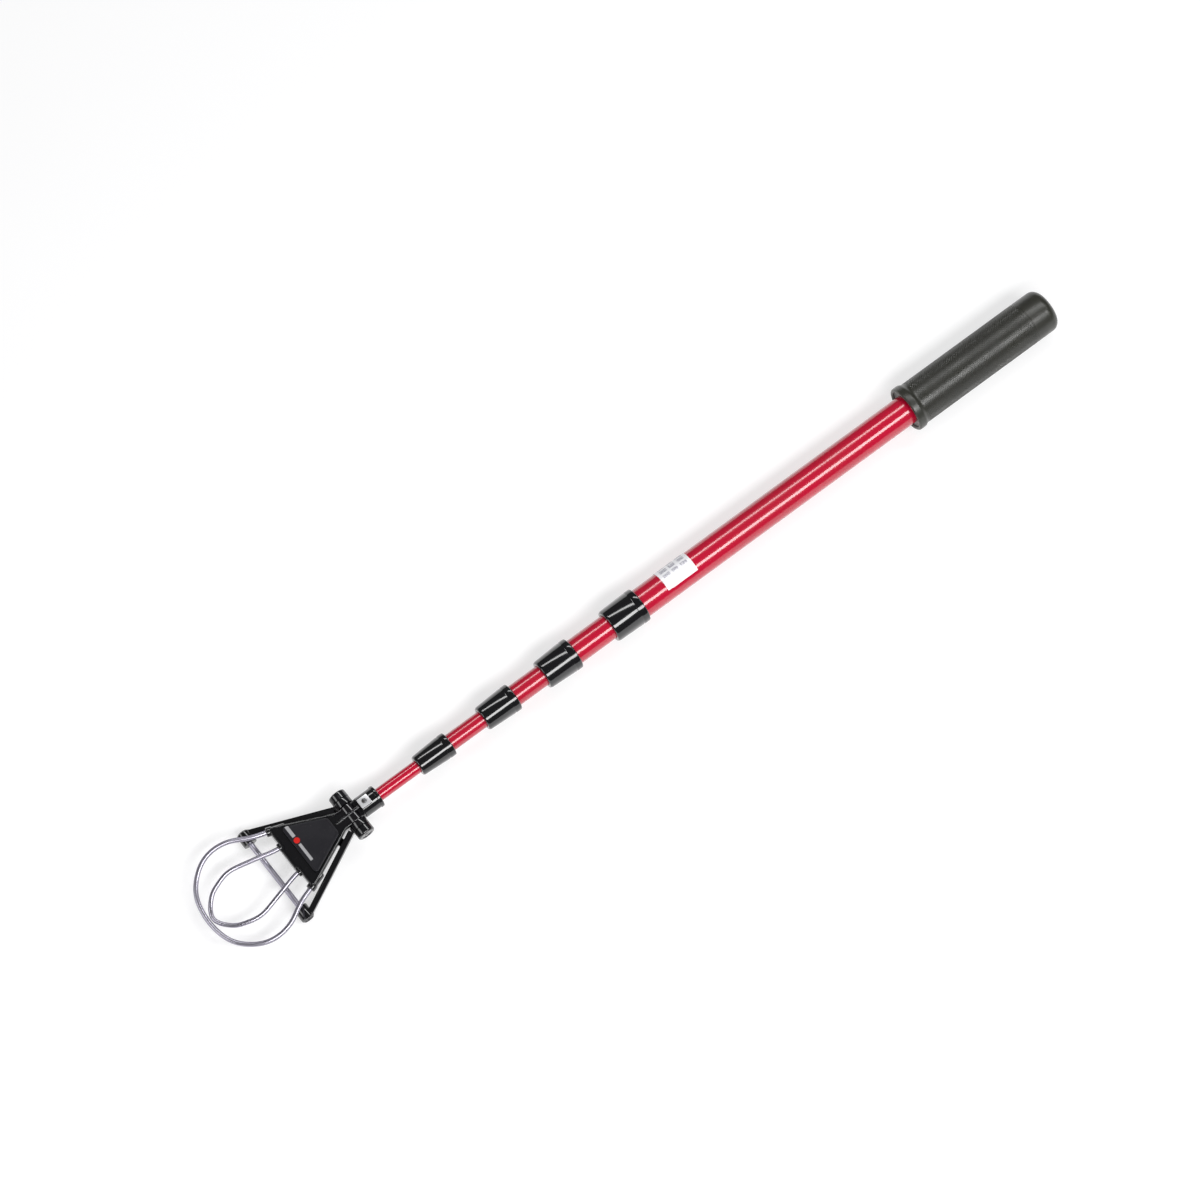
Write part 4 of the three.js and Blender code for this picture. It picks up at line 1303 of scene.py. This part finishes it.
class RETRIEVER_OT_screws(bpy.types.Operator):
    """Makes the three cross-slotted screws under the plate"""

    bl_idname = "retriever.screws"
    bl_label = "Cover screws"

    def execute(self, context):
        sizes = settings().cover
        low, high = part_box("cover_screw_1")
        screw = self.screw(sizes, low, high)
        for number in (2, 3):
            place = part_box(f"cover_screw_{number}")[0]
            twin = copied(screw)
            only(twin)
            twin.location = (place[0] - low[0], place[1] - low[1], 0)
            finish_piece(twin, f"slotted_screw_{number}", "section_5", "bright_steel",
                         [f"cover_screw_{number}"], EDGE_SMOOTHING)
        finish_piece(screw, "slotted_screw_1", "section_5", "bright_steel", ["cover_screw_1"],
                     EDGE_SMOOTHING)
        return {"FINISHED"}

    def screw(self, sizes, low, high):
        """A screw with a crowned head, head down, with a cross cut in it."""
        centre = ((low[0] + high[0]) / 2, (low[1] + high[1]) / 2, 0)
        head = (high[0] - low[0]) / 2
        seat = low[2] + sizes.screw_head
        crown = ((0.0, 0.0011), (0.00025, 0.0006), (0.0006, 0.00015), (0.001, 0.0))
        stations = [(low[2], sizes.screw_core)]
        stations += [(low[2] + rise, head - inset) for rise, inset in crown]
        stations += [(seat, head), (seat, sizes.screw_shank), (high[2], sizes.screw_shank),
                     (high[2], sizes.shank_core)]
        screw = turned(stations, "Z", centre, sides=48)
        long, narrow = sizes.slot_reach, sizes.slot_half_width
        for x, y in ((long, narrow), (narrow, long)):
            slot = block((centre[0] - x, -y, low[2] - sizes.slot_clear),
                         (centre[0] + x, y, low[2] + sizes.slot_depth), sizes.slot_edge, 1)
            cut(screw, slot)
        return screw


class RETRIEVER_OT_loops(bpy.types.Operator):
    """Makes the two bent wire loops"""

    bl_idname = "retriever.loops"
    bl_label = "Wire loops"

    def execute(self, context):
        for name in ("outer", "inner"):
            wire = round_wire(f"{name}_loop", 2, settings().head.loop_swell)
            finish_piece(wire, f"{name}_wire", "section_5", "bright_steel", [f"{name}_loop"],
                         ROUND_SMOOTHING)
        return {"FINISHED"}


class RETRIEVER_OT_hinge(bpy.types.Operator):
    """Makes the spring caps, the springs and the hinge pin"""

    bl_idname = "retriever.hinge"
    bl_label = "Hinge"

    def execute(self, context):
        sizes = settings().hinge
        for side, name in SIDES:
            self.cap(sizes, side, name)
            spring = round_wire(f"torsion_spring_{name}", 1, sizes.spring_swell)
            finish_piece(spring, f"coil_spring_{name}", "section_5", "spring_steel",
                         [f"torsion_spring_{name}"], ROUND_SMOOTHING)
        pin = plain_bar("hinge_pin", sizes.pin_edge, sizes.pin_core)
        finish_piece(pin, "steel_pin", "section_5", "bright_steel", ["hinge_pin"])
        return {"FINISHED"}

    def cap(self, sizes, side, name):
        node = f"spring_cap_{name}"
        low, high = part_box(node)
        inner, outer = sorted((abs(low[1]), abs(high[1])))
        radius = (high[2] - low[2]) / 2
        cavity = radius - sizes.cap_wall
        floor = outer - sizes.cap_wall
        dish, button = outer - sizes.dish_depth, outer - sizes.button_drop
        stations = [(floor, sizes.cap_core), (floor, cavity - sizes.cavity_edge),
                    (floor - sizes.cavity_edge, cavity), (inner, cavity),
                    (inner, radius - sizes.cap_rim), (inner + sizes.cap_rim, radius)]
        stations += front_edge(outer, radius, sizes.cap_round, 8)
        stations += [(outer, sizes.dish_radius), (dish, sizes.dish_radius - sizes.dish_slope),
                     (dish, sizes.button_radius + sizes.button_slope),
                     (button, sizes.button_radius), (button, sizes.pin_core)]
        cap = turned([(side * place, size) for place, size in stations], "Y",
                     (HINGE_X, 0, AXIS_Z), sides=72)
        finish_piece(cap, f"round_cap_{name}", "section_5", "black_plastic", [node])


class RETRIEVER_OT_fork(bpy.types.Operator):
    """Makes the sprung fork: two arms, the crossbar and its end plugs"""

    bl_idname = "retriever.fork"
    bl_label = "Fork"

    def execute(self, context):
        sizes = settings().fork
        for side, name in SIDES:
            self.arm(sizes, name)
            self.plug(sizes, side, name)
        bar = plain_bar("crossbar", sizes.bar_edge, sizes.bar_core)
        finish_piece(bar, "steel_crossbar", "fork", "bright_steel", ["crossbar"])
        return {"FINISHED"}

    def arm(self, sizes, name):
        arm = copy_of_node(f"arm_{name}")
        bpy.ops.mesh.select_all(action="SELECT")
        bpy.ops.mesh.dissolve_limited(angle_limit=math.radians(1.0))
        modify(arm, "BEVEL", width=sizes.arm_round, segments=3, limit_method="ANGLE",
               angle_limit=math.radians(40), use_clamp_overlap=True)
        finish_piece(arm, f"fork_arm_{name}", "fork", "black_plastic", [f"arm_{name}"],
                     EDGE_SMOOTHING)

    def plug(self, sizes, side, name):
        node = f"boss_plug_{name}"
        low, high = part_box(node)
        inner, outer = sorted((abs(low[1]), abs(high[1])))
        radius = (high[0] - low[0]) / 2
        dimple = outer - sizes.plug_dimple
        stations = [(inner, sizes.bar_core), (inner, radius)]
        stations += front_edge(outer, radius, sizes.plug_round, 5)
        stations += [(outer, sizes.plug_hollow), (dimple, sizes.plug_hollow - sizes.plug_dimple),
                     (dimple, sizes.plug_core)]
        plug = turned([(side * place, size) for place, size in stations], "Y",
                      box_axis(node), sides=48)
        finish_piece(plug, f"end_plug_{name}", "fork", "charcoal_plastic", [node])


STEPS = (RETRIEVER_OT_finishes, RETRIEVER_OT_stage, RETRIEVER_OT_tubes, RETRIEVER_OT_collars,
         RETRIEVER_OT_sticker, RETRIEVER_OT_grip, RETRIEVER_OT_head, RETRIEVER_OT_cover,
         RETRIEVER_OT_screws, RETRIEVER_OT_loops, RETRIEVER_OT_hinge, RETRIEVER_OT_fork)


class RETRIEVER_PT_panel(bpy.types.Panel):
    """Lists the steps that build the retriever"""

    bl_idname = "RETRIEVER_PT_panel"
    bl_label = "Ball Retriever"
    bl_space_type = "VIEW_3D"
    bl_region_type = "UI"
    bl_category = "Retriever"

    def draw(self, context):
        for step in STEPS:
            self.layout.operator(step.bl_idname)


class RetrieverSettings(bpy.types.PropertyGroup):
    """All the sizes and colours of the retriever"""

    pole: PointerProperty(type=PoleSizes, name="Pole", description="Tubes and collars")
    grip: PointerProperty(type=GripSizes, name="Grip", description="Rubber grip")
    head: PointerProperty(type=HeadSizes, name="Head", description="Head moulding")
    cover: PointerProperty(type=CoverSizes, name="Cover", description="Cover panel")
    hinge: PointerProperty(type=HingeSizes, name="Hinge", description="Caps, springs and pin")
    fork: PointerProperty(type=ForkSizes, name="Fork", description="Arms, crossbar and plugs")
    colours: PointerProperty(type=Colours, name="Colours", description="Finishes")
    stage: PointerProperty(type=StageSizes, name="Stage", description="Camera and lights")


GROUPS = (PoleSizes, GripSizes, HeadSizes, CoverSizes, HingeSizes, ForkSizes, Colours, StageSizes,
          RetrieverSettings)


def register():
    for item in GROUPS + STEPS + (RETRIEVER_PT_panel,):
        bpy.utils.register_class(item)
    bpy.types.Scene.retriever = PointerProperty(type=RetrieverSettings)


def unregister():
    del bpy.types.Scene.retriever
    for item in reversed(GROUPS + STEPS + (RETRIEVER_PT_panel,)):
        bpy.utils.unregister_class(item)


def main():
    register()
    for step in STEPS:
        group, name = step.bl_idname.split(".")
        getattr(getattr(bpy.ops, group), name)()


if __name__ == "__main__":
    main()
